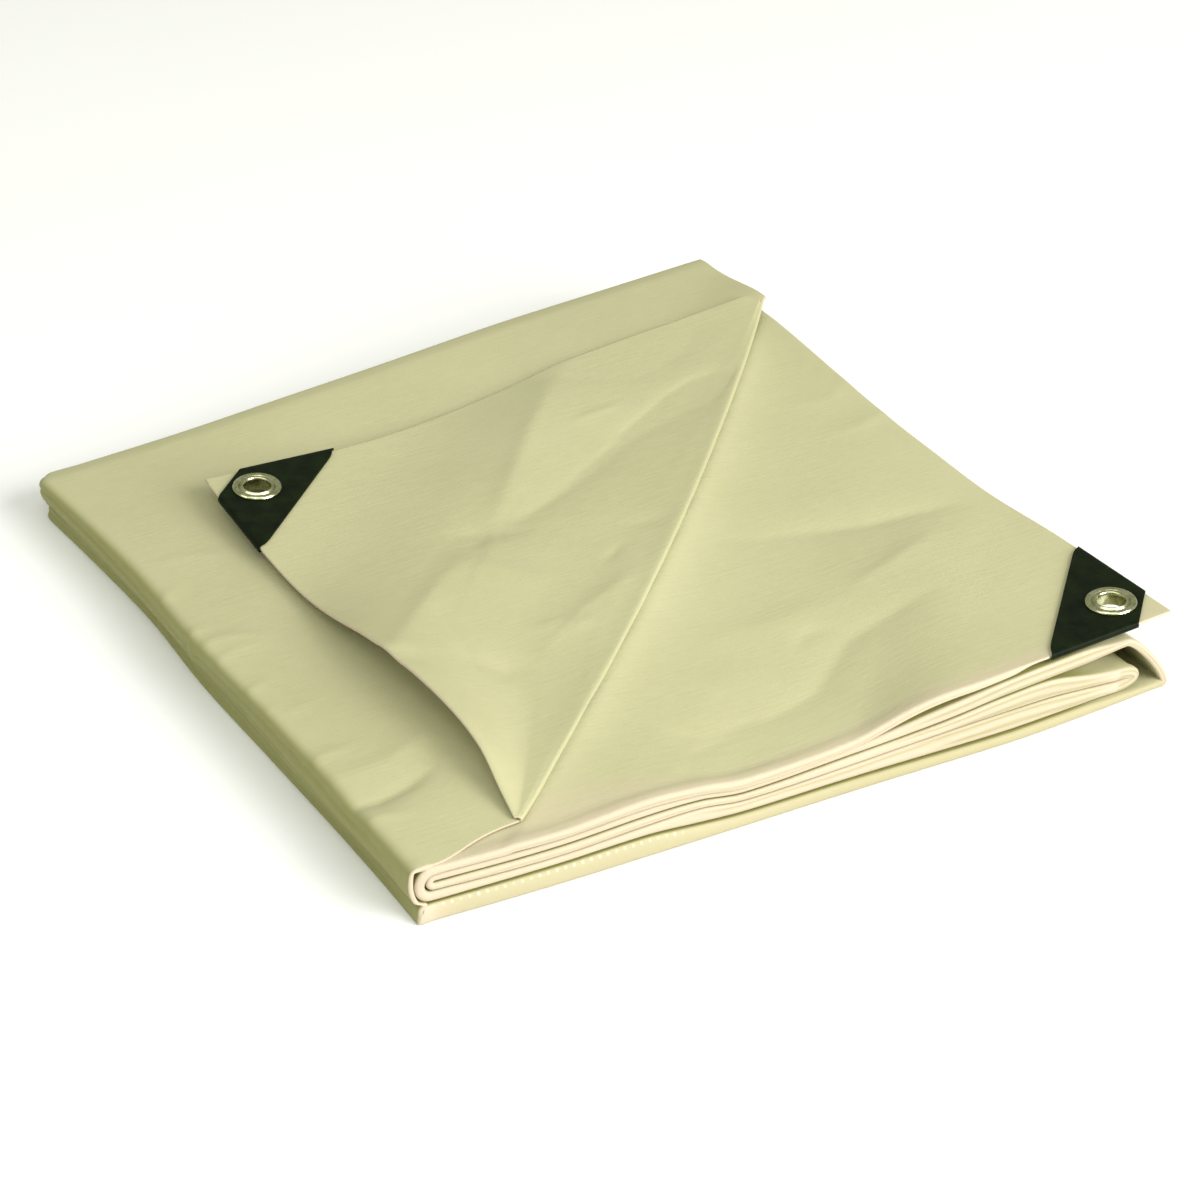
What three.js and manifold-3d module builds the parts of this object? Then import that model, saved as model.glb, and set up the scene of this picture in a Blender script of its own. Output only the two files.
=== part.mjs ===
import * as THREE from 'three';
import Module from 'manifold-3d';
import { mergeVertices } from 'three/addons/utils/BufferGeometryUtils.js';

// A large woven poly tarpaulin folded to a flat square bundle, lying on a table.
// One long strip goes back and forth: six runs, joined by folds at the spine
// side (left) and at the open side (right). The top run is peeled back along a
// diagonal, so that it shows its own corner and the corner of the run below.
// Millimetres, +Z up, X along the front edge, Y from the front to the back.

// Cloth thicknesses. A run stands for several plies pressed together.
const RUN_THICK = 2.6;
const TOP_THICK = 1.8;
const CORNER_THICK = 1.2;
const FREE_EDGE_BULGE = 1.1;

// Diagonal along which the top run is peeled back, from the front edge
// (fold_front) to the right edge (fold_right), and the free corner it brings
// to the left (the flap's corner).
const FOLD_FRONT = { x: -124, y: -172 };
const FOLD_RIGHT = { x: 167, y: 125 };
const FLAP_CORNER = { x: -128.8, y: 114.5 };

// Corner patches: a truncated triangle folded over both faces of the cloth.
const PATCH_LEG = 67;
const PATCH_CUT = 19.5;
const PATCH_PLATE = 0.9;
const PATCH_GAP = 0.3;
const EYE_IN = 19;

// Eyelet: rolled flange above, barrel, flat flange below.
const EYE_HOLE_R = 6;
const EYE_BARREL_R = 6.8;
const EYE_FLANGE_R = 11;
const EYE_RISE = 1.5;
const EYE_UNDER = 0.9;
const EYE_SEGMENTS = 36;

// Top face of each patch: its square corner, and how it is turned, in degrees.
const RIGHT_CORNER = { x: 177.6, y: -189.1, z: 37.7, rx: -2.5, ry: -0.7, rz: 2.2 };
const LEFT_CORNER = { x: -130.4, y: 116.1, z: 33.3, rx: 1.8, ry: 2.2, rz: -1.3 };
const PATCH_TOTAL = 2 * PATCH_PLATE + 2 * PATCH_GAP + CORNER_THICK;

// Lower and upper limits of each run's front edge, as it rises and sinks along
// the front of the bundle.
const FRONT = [
  { x: -165, hem: 8.2, b2: [8.9, 13.2], b3: [13.8, 17.3], a: [17.9, 21.2], s2: [21.8, 25.4] },
  { x: -113, hem: 8.4, b2: [9.0, 12.5], b3: [13.1, 16.9], a: [17.5, 20.5], s2: [21.1, 25.2] },
  { x: -75, hem: 9.0, b2: [9.7, 14.2], b3: [14.8, 18.6], a: [19.2, 22.6], s2: [23.2, 27.8] },
  { x: -51, hem: 7.0, b2: [7.6, 14.2], b3: [14.8, 18.0], a: [18.6, 21.2], s2: [21.8, 26.2] },
  { x: -31, hem: 5.6, b2: [6.2, 11.4], b3: [12.0, 15.0], a: [15.6, 18.0], s2: [18.6, 23.4] },
  { x: 17, hem: 5.4, b2: [6.0, 12.2], b3: [12.8, 17.0], a: [17.6, 21.0], s2: [21.6, 25.6] },
  { x: 60, hem: 4.8, b2: [5.5, 14.0], b3: [14.7, 19.6], a: [20.3, 26.8], s2: [27.5, 31.6] },
  { x: 91, hem: 4.6, b2: [5.3, 14.8], b3: [15.5, 23.0], a: [23.8, 30.6], s2: [31.3, 34.6] },
  { x: 114, hem: 4.8, b2: [5.4, 13.8], b3: [15.6, 23.6], a: [25.0, 32.0], s2: [34.0, 35.2] },
  { x: 135, hem: 4.6, b2: [5.2, 10.8], b3: [14.0, 19.0], a: [25.4, 32.2], s2: [34.4, 35.6] },
  { x: 150, hem: 4.0, b2: [4.7, 8.2], b3: [12.8, 16.4], a: [25.2, 31.6], s2: [34.6, 35.8] },
];

// Height of the second run's middle, the sheet that shows at the right.
const SECOND_X = [-165, -113, -56, 17, 66, 113, 172];
const SECOND = [
  { y: -186, z: [23.4, 23.2, 25.0, 23.8, 30.0, 34.2, 36.0] },
  { y: -120, z: [21.8, 22.8, 24.2, 24.6, 28.4, 32.4, 33.4] },
  { y: -60, z: [21.2, 22.4, 24.0, 25.4, 27.2, 29.4, 30.6] },
  { y: 0, z: [20.2, 21.4, 23.6, 25.8, 27.4, 29.0, 30.2] },
  { y: 60, z: [18.8, 19.4, 21.2, 24.8, 28.0, 29.6, 31.2] },
  { y: 120, z: [17.6, 18.0, 19.6, 23.8, 28.2, 30.8, 32.8] },
  { y: 180, z: [17.0, 18.8, 21.8, 26.6, 29.6, 31.6, 33.6] },
];

// How far the top run's middle lies above the second run's middle.
const TOP_X = [-165, -113, -56, 17, 90, 168];
const TOP_LIFT = [
  { y: -186, z: [2.9, 3.4, 3.2, 3.0, 3.0, 3.0] },
  { y: -100, z: [3.0, 3.2, 3.0, 3.0, 3.0, 3.0] },
  { y: 0, z: [3.0, 3.2, 3.0, 3.0, 3.0, 3.0] },
  { y: 180, z: [3.1, 3.2, 3.2, 3.2, 3.2, 3.2] },
];

// Left side of the bundle, seen from above: how far out the spine bulges.
const SPINE = [
  { y: -182, x: -175.4 }, { y: -117, x: -176.4 }, { y: -53, x: -178.6 }, { y: 11, x: -181.2 },
  { y: 71, x: -180.4 }, { y: 130, x: -183.4 }, { y: 178, x: -185.6 },
];
// Front and back edges and the second run's right edge, seen from above.
const FRONT_EDGE = [
  { x: -180, y: -180.5 }, { x: -131, y: -184 }, { x: -87, y: -186 }, { x: 23, y: -189 },
  { x: 90, y: -191.6 }, { x: 113, y: -191.6 }, { x: 177, y: -189.1 },
];
const BACK_EDGE = [{ x: -186, y: 174 }, { x: -68, y: 177 }, { x: 110, y: 182 }, { x: 176, y: 184 }];
const RIGHT_EDGE = [
  { y: -190, x: 176.1 }, { y: -156, x: 174.8 }, { y: -122, x: 173.5 }, { y: -100, x: 172 },
  { y: -60, x: 168.6 }, { y: 0, x: 167 },
  { y: 82, x: 169 }, { y: 127, x: 170 }, { y: 184, x: 168 },
];

// Rows of the mesh from front (0) to back (1); FOLD_ROW is where the diagonal
// meets the right edge, CORNER_ROW is square across from the flap's corner.
const ROWS = [
  0, 0.012, 0.028, 0.055, 0.1, 0.15, 0.2, 0.25, 0.3, 0.355, 0.409,
  0.462, 0.515, 0.57, 0.625, 0.68, 0.735, 0.79, 0.845, 0.9, 0.965, 1,
];
const FOLD_ROW = 18;
const CORNER_ROW = 10;

// Height of the flap's outline above the table (middle of the cloth), along
// its left edge from the front and along its back edge from the corner.
const FLAP_LEFT = [
  { at: 0, x: -125.5, z: 28.4 }, { at: 0.05, x: -124, z: 32.4 }, { at: 0.12, x: -122, z: 39.0 },
  { at: 0.2, x: -122, z: 42.0 }, { at: 0.3, x: -123.5, z: 42.0 }, { at: 0.42, x: -126.5, z: 39.6 },
  { at: 0.58, x: -129.4, z: 34.8 }, { at: 0.75, x: -130.4, z: 31.0 }, { at: 0.88, x: -129.6, z: 31.0 },
  { at: 1, x: -128.8, z: 31.4 },
];
const FLAP_BACK = [
  { at: 0, y: 114.5, z: 31.4 }, { at: 0.12, y: 113.8, z: 29.8 }, { at: 0.24, y: 113.2, z: 28.2 },
  { at: 0.45, y: 119.5, z: 30.4 },
  { at: 0.7, y: 127, z: 32.8 }, { at: 0.86, y: 131, z: 36.8 }, { at: 1, y: 131, z: 41.6 },
];
const ROLL = [
  { at: 0, r: 1.3 }, { at: 0.06, r: 2.2 }, { at: 0.25, r: 3.4 }, { at: 0.6, r: 3.2 }, { at: 1, r: 2.8 },
];
const DIAGONAL_BOW = 9;

const rad = THREE.MathUtils.degToRad;
const mix = (a, b, t) => a + (b - a) * t;
const clamp01 = (t) => Math.min(1, Math.max(0, t));
const ease = (t) => clamp01(t) ** 2 * (3 - 2 * clamp01(t));

// Smooth curve through the stations (xs, values).
function smooth(xs, values, x) {
  const last = xs.length - 1;
  const at = Math.min(Math.max(x, xs[0]), xs[last]);
  let i = 0;
  while (i < last - 1 && at > xs[i + 1]) i += 1;
  const slope = (k) => {
    const lo = Math.max(0, k - 1);
    const hi = Math.min(last, k + 1);
    return (values[hi] - values[lo]) / (xs[hi] - xs[lo]);
  };
  const h = xs[i + 1] - xs[i];
  const t = (at - xs[i]) / h;
  const m0 = slope(i) * h;
  const m1 = slope(i + 1) * h;
  const t2 = t * t;
  const t3 = t2 * t;
  return (2 * t3 - 3 * t2 + 1) * values[i] + (t3 - 2 * t2 + t) * m0
    + (3 * t2 - 2 * t3) * values[i + 1] + (t3 - t2) * m1;
}
const curve = (table, key, value, at) =>
  smooth(table.map((row) => row[key]), table.map((row) => row[value]), at);
const field = (xs, table, x, y) =>
  smooth(table.map((row) => row.y), table.map((row) => smooth(xs, row.z, x)), y);

const frontY = (x) => curve(FRONT_EDGE, 'x', 'y', x);
const backY = (x) => curve(BACK_EDGE, 'x', 'y', x);
const spineX = (y) => curve(SPINE, 'y', 'x', y);

// A patch's own axes: u along one edge of the cloth, w along the other, both
// measured in from the square corner; n is the upward normal.
function cornerFrame(corner, alongU, alongW) {
  const turn = new THREE.Matrix4().makeRotationFromEuler(
    new THREE.Euler(rad(corner.rx), rad(corner.ry), rad(corner.rz), 'ZYX'),
  );
  const u = new THREE.Vector3(...alongU).applyMatrix4(turn);
  const w = new THREE.Vector3(...alongW).applyMatrix4(turn);
  const n = new THREE.Vector3().crossVectors(u, w).normalize();
  const origin = new THREE.Vector3(corner.x, corner.y, corner.z);
  return { origin, u, w, n };
}
const RIGHT_FRAME = cornerFrame(RIGHT_CORNER, [0, 1, 0], [-1, 0, 0]);
const LEFT_FRAME = cornerFrame(LEFT_CORNER, [0, -1, 0], [1, 0, 0]);

// Height of the cloth's middle in a patch's plane, over the point (x, y), and
// how far that point is from the square corner, along both edges together.
function cornerPlane(frame, x, y) {
  const { origin, u, w, n } = frame;
  const drop = PATCH_TOTAL / 2;
  const z = origin.z - (n.x * (x - origin.x) + n.y * (y - origin.y)) / n.z - drop;
  const du = (x - origin.x) * u.x + (y - origin.y) * u.y;
  const dw = (x - origin.x) * w.x + (y - origin.y) * w.y;
  return { z, reach: du + dw };
}
const RIGHT_FLAT = { reach: PATCH_LEG + 40, fade: 60 };
const LEFT_FLAT = { reach: PATCH_LEG + 38, fade: 40 };
const cornerWeight = (flat, reach) => 1 - ease((reach - flat.reach) / flat.fade);

// Runs below the second one. Near the front each fills its own band; further in
// they share the height below the second run evenly, a little apart.
const LOWER_RUNS = ['b0', 'b2', 'b3', 'a'];
const RUN_GAP = 1.5;
const EYELET_ROOM = 2.2;
const EDGE_FADE = 70;
function edgeBand(run, x) {
  const xs = FRONT.map((row) => row.x);
  if (run === 'b0') return { low: 0, high: smooth(xs, FRONT.map((row) => row.hem), x) };
  const low = smooth(xs, FRONT.map((row) => row[run][0]), x);
  const high = smooth(xs, FRONT.map((row) => row[run][1]), x);
  return { low, high };
}
const nearFront = (x, y) => 1 - ease((y - frontY(x)) / EDGE_FADE);
function secondZ(x, y) {
  const inner = field(SECOND_X, SECOND, x, y);
  const band = edgeBand('s2', x);
  const free = mix(inner, (band.low + band.high) / 2, nearFront(x, y));
  const plane = cornerPlane(RIGHT_FRAME, x, y);
  return mix(free, plane.z, cornerWeight(RIGHT_FLAT, plane.reach));
}
function lowerRun(run, x, y) {
  const plane = cornerPlane(RIGHT_FRAME, x, y);
  const flat = cornerWeight(RIGHT_FLAT, plane.reach);
  const second = mix(field(SECOND_X, SECOND, x, y), plane.z - EYELET_ROOM, flat);
  const share = (second - RUN_THICK / 2) / LOWER_RUNS.length;
  const innerLow = share * LOWER_RUNS.indexOf(run);
  const band = edgeBand(run, x);
  const near = nearFront(x, y);
  const low = mix(innerLow, band.low, near);
  const high = mix(innerLow + share - RUN_GAP, band.high, near);
  return { z: (low + high) / 2, thick: high - low };
}
const runZ = (run, x, y) => (run === 's2' ? secondZ(x, y) : lowerRun(run, x, y).z);
function topZ(x, y) {
  const lift = field(TOP_X, TOP_LIFT, x, y);
  const inner = field(SECOND_X, SECOND, x, y);
  const band = edgeBand('s2', x);
  const under = mix(inner, (band.low + band.high) / 2, nearFront(x, y));
  const backDrop = 1.3 * ease((y - backY(x) + 9) / 9);
  return under + lift - backDrop;
}

// Ends of the runs: where the folds at the spine and the open side begin.
const SPINE_FOLD = { outer: 9, middle: 5.2, inner: 2.4 };
const SPINE_STEP = 3.9;
const OPEN_A = 150;
const OPEN_B0 = 168;
const OPEN_LOOP = 147;
const LOOP_OUT = 9.5;
const HEM_DEPTH_ROWS = 2;
const FRONT_INSET = { t: 0.6, s2: 0.4, a: 1.4, b3: 1.1, b2: 1.6, b0: 0.3 };
const BACK_INSET = { t: 0.6, s2: 5.5, a: 3.4, b3: 4.6, b2: 2.6, b0: 0.8 };

const steps = (n) => Array.from({ length: n + 1 }, (_, i) => i / n);
const RUN_STATIONS = [-150, -113, -75, -51, -31, 17, 60, 91, 114, 130];
const SECOND_STATIONS = [...RUN_STATIONS, 152];

// One row of the strip, as a list of points { x, y, z, thick }, from the
// second run's free edge to the top run's fold line or right edge.
function stripRow(v) {
  const points = [];
  const yAt = (x, run) => {
    const tuck = run === 's2' ? 1.1 * ease((x - 70) / 30) : 0;
    const front = frontY(x) + FRONT_INSET[run] + tuck + (run === 't' ? topFrontInset(x) : 0);
    const back = backY(x) - BACK_INSET[run];
    return mix(front, back, v);
  };
  const rowIndex = ROWS.indexOf(v);
  const hem = rowIndex < HEM_DEPTH_ROWS;
  const secondThick = (x, y) => {
    const band = edgeBand('s2', x);
    const { reach } = cornerPlane(RIGHT_FRAME, x, y);
    return mix(hem ? band.high - band.low : RUN_THICK, CORNER_THICK, cornerWeight(RIGHT_FLAT, reach));
  };
  // A lower run thins out where it goes into a fold.
  const addRun = (run, xs) => xs.forEach((x, i) => {
    const y = yAt(x, run);
    if (run === 's2') {
      points.push({ x, y, z: secondZ(x, y), thick: secondThick(x, y) });
      return;
    }
    const band = edgeBand(run, x);
    const isEnd = i === 0 || i === xs.length - 1;
    const inside = lowerRun(run, x, y);
    const atFold = hem ? band.high - band.low : RUN_THICK;
    const thick = isEnd ? atFold : inside.thick;
    const z = run === 'b0' ? thick / 2 : inside.z;
    points.push({ x, y, z, thick });
  });
  // A fold between two runs: the arc from one height to the other, swinging
  // out by `out`, leaning so that its lower end stands further out than its top.
  const addFold = (runFrom, runTo, xFrom, xTo, out, count, shape = {}) => {
    const yFrom = yAt(xFrom, runFrom);
    const yTo = yAt(xTo, runTo);
    const heightOf = (run, x, y) => (run === 'b0' ? RUN_THICK / 2 : runZ(run, x, y));
    const from = { z: heightOf(runFrom, xFrom, yFrom) };
    const to = { z: shape.toZ ?? heightOf(runTo, xTo, yTo) };
    const square = shape.square ?? 1;
    steps(count).slice(1, -1).forEach((t) => {
      const angle = t * Math.PI;
      const reach = Math.sin(angle) ** square;
      const side = Math.sign(Math.cos(angle)) * Math.abs(Math.cos(angle)) ** (shape.tall ?? 1);
      const part = (1 - side) / 2;
      const z = mix(from.z, to.z, part);
      const x = mix(xFrom, xTo, part) + out * reach + (shape.valley ? shape.valley(t) : 0);
      const thick = mix(shape.thickFrom ?? RUN_THICK, shape.thickTo ?? RUN_THICK, part);
      points.push({ x, y: mix(yFrom, yTo, part), z, thick });
    });
  };

  const yHere = mix(-186, 180, v);
  const spine = spineX(yHere);
  const outerX = spine + SPINE_FOLD.outer;
  const middleX = spine + SPINE_STEP + SPINE_FOLD.middle;
  const innerX = spine + 2 * SPINE_STEP + SPINE_FOLD.inner;
  const right = curve(RIGHT_EDGE, 'y', 'x', yHere);

  addRun('s2', [right, ...[...SECOND_STATIONS].reverse(), middleX]);
  addFold('s2', 'b2', middleX, middleX, -SPINE_FOLD.middle, 6);
  addRun('b2', [middleX, ...RUN_STATIONS, OPEN_LOOP]);
  addFold('b2', 'b3', OPEN_LOOP, OPEN_LOOP, LOOP_OUT, 6);
  addRun('b3', [OPEN_LOOP, ...[...RUN_STATIONS].reverse(), innerX]);
  addFold('b3', 'a', innerX, innerX, -SPINE_FOLD.inner, 5);
  addRun('a', [innerX, ...RUN_STATIONS, OPEN_A]);
  addFold('a', 'b0', OPEN_A, OPEN_B0, 7.5, 9, { tall: 1.1, square: 0.9 });
  addRun('b0', [OPEN_B0, ...[...RUN_STATIONS].reverse(), outerX]);
  const spineTop = topZ(outerX, yAt(outerX, 't'));
  addFold('b0', 't', outerX, outerX, -SPINE_FOLD.outer, 10, {
    toZ: spineTop,
    square: 0.7,
    tall: 1,
    thickTo: TOP_THICK,
    valley: (t) => 1.5 * Math.exp(-(((t - 0.33) / 0.1) ** 2)),
  });

  // Top run, from the spine to the diagonal fold or to the right edge.
  const foldX = mix(FOLD_FRONT.x, FOLD_RIGHT.x, v / ROWS[FOLD_ROW]);
  const folded = rowIndex <= FOLD_ROW;
  const endX = folded ? foldX : FOLD_RIGHT.x + 1;
  const bow = folded ? foldBow(v / ROWS[FOLD_ROW]) : { x: 0, y: 0 };
  const line = foldPoint(v / ROWS[FOLD_ROW]);
  TOP_STEPS.forEach((t) => {
    const x = mix(outerX, endX, t);
    const pull = folded ? ease((t - 0.35) / 0.65) : 0;
    const yFree = yAt(x, 't');
    const y = folded ? mix(yFree, line.y, ease(t)) : yFree;
    points.push({
      x: x + bow.x * pull,
      y: y + bow.y * pull,
      z: topZ(x + bow.x * pull, y + bow.y * pull),
      thick: TOP_THICK,
    });
  });
  return points;
}
const TOP_STEPS = [0, 0.1, 0.2, 0.32, 0.44, 0.56, 0.68, 0.79, 0.9, 1];
const topFrontInset = (x) => 8 * ease((x + 168) / 44);

// Points of the diagonal, with its slow bow towards the right.
const foldPoint = (t) => ({
  x: mix(FOLD_FRONT.x, FOLD_RIGHT.x, t),
  y: mix(FOLD_FRONT.y, FOLD_RIGHT.y, t),
});
const DIAGONAL = new THREE.Vector2(FOLD_RIGHT.x - FOLD_FRONT.x, FOLD_RIGHT.y - FOLD_FRONT.y);
const DIAGONAL_DIR = DIAGONAL.clone().normalize();
const DIAGONAL_OUT = new THREE.Vector2(DIAGONAL_DIR.y, -DIAGONAL_DIR.x);
const foldBow = (t) => {
  const amount = DIAGONAL_BOW * Math.sin(Math.PI * clamp01(t)) ** 0.8;
  return { x: DIAGONAL_OUT.x * amount, y: DIAGONAL_OUT.y * amount };
};

// The flap's outline opposite the diagonal, for t along the diagonal.
const CORNER_T = ROWS[CORNER_ROW] / ROWS[FOLD_ROW];
function flapOutline(t) {
  if (t <= CORNER_T) {
    const at = t / CORNER_T;
    return {
      x: curve(FLAP_LEFT, 'at', 'x', at),
      y: mix(FOLD_FRONT.y + 1, FLAP_CORNER.y, at),
      z: curve(FLAP_LEFT, 'at', 'z', at),
    };
  }
  const at = (t - CORNER_T) / (1 - CORNER_T);
  return {
    x: mix(FLAP_CORNER.x, FOLD_RIGHT.x - 4, at),
    y: curve(FLAP_BACK, 'at', 'y', at),
    z: curve(FLAP_BACK, 'at', 'z', at),
  };
}

const ROLL_STEPS = 5;
const FLAP_STEPS = [0.12, 0.26, 0.41, 0.56, 0.7, 0.82, 0.92, 1];
const FLAP_CLEAR = 1.2;
// Half roll along the diagonal and the flap lying back over the top run.
function flapRow(v, base) {
  const t = v / ROWS[FOLD_ROW];
  const radius = curve(ROLL, 'at', 'r', t);
  const points = [];
  for (let i = 1; i <= ROLL_STEPS; i += 1) {
    const angle = (i / ROLL_STEPS) * Math.PI;
    const out = radius * Math.sin(angle);
    points.push({
      x: base.x + DIAGONAL_OUT.x * out,
      y: base.y + DIAGONAL_OUT.y * out,
      z: base.z + radius * (1 - Math.cos(angle)),
      thick: TOP_THICK,
    });
  }
  const start = points[points.length - 1];
  const end = flapOutline(t);
  FLAP_STEPS.forEach((s) => {
    const x = mix(start.x, end.x, s);
    const y = mix(start.y, end.y, s);
    const lie = topZ(x, y) + TOP_THICK + FLAP_CLEAR;
    const startLift = start.z - (topZ(start.x, start.y) + TOP_THICK + FLAP_CLEAR);
    const endLift = end.z - (topZ(end.x, end.y) + TOP_THICK + FLAP_CLEAR);
    const lift = startLift * (1 - ease(s / 0.55)) + endLift * ease((s - 0.25) / 0.75);
    const free = Math.max(lie + lift, lie);
    const plane = cornerPlane(LEFT_FRAME, x, y);
    const weight = cornerWeight(LEFT_FLAT, plane.reach);
    const bent = mix(free, plane.z, weight);
    points.push({
      x, y,
      z: weight < 1 ? Math.max(bent, lie) : plane.z,
      thick: mix(TOP_THICK, CORNER_THICK, weight),
    });
  });
  return points;
}

// Closes a grid of middle points to a solid of the given thicknesses. Free
// edges are rounded by one more line of points, pushed out of the edge.
function thicken(rows, hasCell) {
  const index = new Map();
  const mids = [];
  rows.forEach((row, j) => row.forEach((point, i) => {
    index.set(`${j},${i}`, mids.length);
    mids.push({ ...point, normal: new THREE.Vector3(), out: new THREE.Vector3() });
  }));
  const at = (j, i) => index.get(`${j},${i}`);
  const vec = (k) => new THREE.Vector3(mids[k].x, mids[k].y, mids[k].z);
  const cells = [];
  const edges = new Map();
  for (let j = 0; j < rows.length - 1; j += 1) {
    for (let i = 0; i < rows[j].length - 1; i += 1) {
      if (!hasCell(j, i)) continue;
      const quad = [at(j, i), at(j, i + 1), at(j + 1, i + 1), at(j + 1, i)];
      cells.push(quad);
      const across = vec(quad[2]).sub(vec(quad[0])).cross(vec(quad[3]).sub(vec(quad[1])));
      quad.forEach((k) => mids[k].normal.add(across));
      quad.forEach((k, n) => {
        const next = quad[(n + 1) % 4];
        if (edges.has(`${next},${k}`)) edges.delete(`${next},${k}`);
        else edges.set(`${k},${next}`, [k, next]);
      });
    }
  }
  mids.forEach((mid) => mid.normal.normalize());
  [...edges.values()].forEach(([k, next]) => {
    const along = vec(next).sub(vec(k)).normalize();
    const out = along.cross(mids[k].normal.clone().add(mids[next].normal)).normalize();
    mids[k].out.add(out);
    mids[next].out.add(out);
  });
  const position = [];
  const put = (v) => position.push(v.x, v.y, v.z);
  const rim = new Map();
  mids.forEach((mid, k) => put(vec(k).addScaledVector(mid.normal, mid.thick / 2)));
  mids.forEach((mid, k) => put(vec(k).addScaledVector(mid.normal, -mid.thick / 2)));
  mids.forEach((mid, k) => {
    if (mid.out.lengthSq() === 0) return;
    rim.set(k, position.length / 3);
    put(vec(k).addScaledVector(mid.out.normalize(), Math.min(FREE_EDGE_BULGE, mid.thick * 0.3)));
  });
  const faces = [];
  const lower = mids.length;
  cells.forEach(([a, b, c, d]) => {
    faces.push([a, b, c], [a, c, d]);
    faces.push([lower + a, lower + c, lower + b], [lower + a, lower + d, lower + c]);
  });
  [...edges.values()].forEach(([k, next]) => {
    const r0 = rim.get(k);
    const r1 = rim.get(next);
    faces.push([next, k, r0], [next, r0, r1]);
    faces.push([r1, r0, lower + k], [r1, lower + k, lower + next]);
  });
  const geometry = new THREE.BufferGeometry();
  geometry.setAttribute('position', new THREE.Float32BufferAttribute(position, 3));
  geometry.setIndex(faces.flat());
  return geometry;
}

const wasm = await Module();
wasm.setup();
function toSolid(source) {
  const bare = source.clone();
  bare.deleteAttribute('normal');
  bare.deleteAttribute('uv');
  const geometry = mergeVertices(bare, 1e-4);
  return new wasm.Manifold(new wasm.Mesh({
    numProp: 3,
    vertProperties: new Float32Array(geometry.attributes.position.array),
    triVerts: new Uint32Array(geometry.index.array),
  }));
}
function toGeometry(solid) {
  const mesh = solid.getMesh();
  const geometry = new THREE.BufferGeometry();
  geometry.setAttribute('position', new THREE.Float32BufferAttribute(mesh.vertProperties, 3));
  geometry.setIndex(Array.from(mesh.triVerts));
  return geometry;
}

// Turns a solid drawn in a patch's own axes into the bundle's axes.
function place(frame, solid) {
  const { u, w, n, origin } = frame;
  return solid.transform([
    u.x, u.y, u.z, 0, w.x, w.y, w.z, 0, n.x, n.y, n.z, 0, origin.x, origin.y, origin.z, 1,
  ]);
}
function prism(outline, low, high) {
  const section = new wasm.CrossSection([outline]);
  return wasm.Manifold.extrude(section, high - low).translate([0, 0, low]);
}
const HOLE_R = EYE_BARREL_R + PATCH_GAP;
const BORE_REACH = 6;
function bore(radius) {
  const length = PATCH_TOTAL + 2 * BORE_REACH;
  return wasm.Manifold.cylinder(length, radius, radius, EYE_SEGMENTS)
    .translate([EYE_IN, EYE_IN, -PATCH_TOTAL - BORE_REACH]);
}

// Patch: two plates joined along both edges of the cloth, open at the long
// side and at the cut corner, where the cloth's tip comes out.
const TIP_ROUND = 2;
function patchSolid(frame) {
  const outline = [
    [0, PATCH_CUT], [PATCH_CUT, 0], [PATCH_LEG - TIP_ROUND, 0], [PATCH_LEG, TIP_ROUND * 0.8],
    [PATCH_LEG - TIP_ROUND, TIP_ROUND * 2.2], [TIP_ROUND * 2.2, PATCH_LEG - TIP_ROUND],
    [TIP_ROUND * 0.8, PATCH_LEG], [0, PATCH_LEG - TIP_ROUND],
  ];
  const wall = PATCH_PLATE;
  const far = PATCH_LEG * 2;
  const slot = [[wall, wall], [far, wall], [wall, far]];
  const plates = prism(outline, -PATCH_TOTAL, 0);
  const middle = PATCH_TOTAL / 2;
  const half = CORNER_THICK / 2 + PATCH_GAP;
  return place(frame, plates.subtract(prism(slot, -middle - half, -middle + half)).subtract(bore(HOLE_R)));
}

// Eyelet: a ring with a groove that holds the patch and the cloth.
function eyeletSolid(frame) {
  const top = PATCH_GAP;
  const bottom = -PATCH_TOTAL - PATCH_GAP;
  const crown = (EYE_HOLE_R + EYE_FLANGE_R) / 2;
  const section = [
    [EYE_HOLE_R, bottom - EYE_UNDER], [EYE_HOLE_R + 0.5, bottom - EYE_UNDER - 0.2],
    [EYE_FLANGE_R - 0.8, bottom - EYE_UNDER], [EYE_FLANGE_R - 0.4, bottom],
    [EYE_BARREL_R, bottom], [EYE_BARREL_R, top], [EYE_FLANGE_R, top],
    [EYE_FLANGE_R - 0.3, top + EYE_RISE * 0.45], [EYE_FLANGE_R - 1.3, top + EYE_RISE * 0.85],
    [crown, top + EYE_RISE], [EYE_HOLE_R + 1, top + EYE_RISE * 0.75], [EYE_HOLE_R, top + 0.2],
  ];
  const ring = wasm.Manifold.revolve(new wasm.CrossSection([section]), EYE_SEGMENTS);
  return place(frame, ring.translate([EYE_IN, EYE_IN, 0]));
}

// The cloth: strip and flap in one grid, with the two eyelet holes.
const strip = ROWS.map((v) => stripRow(v));
const stripLength = strip[0].length;
const rows = strip.map((row, j) => (
  j <= FOLD_ROW ? [...row, ...flapRow(ROWS[j], row[stripLength - 1])] : row
));
const hasCell = (j, i) => i < stripLength - 1 || j < FOLD_ROW;
const cloth = toSolid(thicken(rows, hasCell))
  .subtract(place(RIGHT_FRAME, bore(HOLE_R)))
  .subtract(place(LEFT_FRAME, bore(HOLE_R)));

const CLOTH_SURFACE = { color: 0xcfc79a, roughness: 0.62, metalness: 0 };
const PATCH_SURFACE = { color: 0x14190f, roughness: 0.5, metalness: 0 };
const EYE_SURFACE = { color: 0xc9c7a4, roughness: 0.32, metalness: 0.9 };

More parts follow.
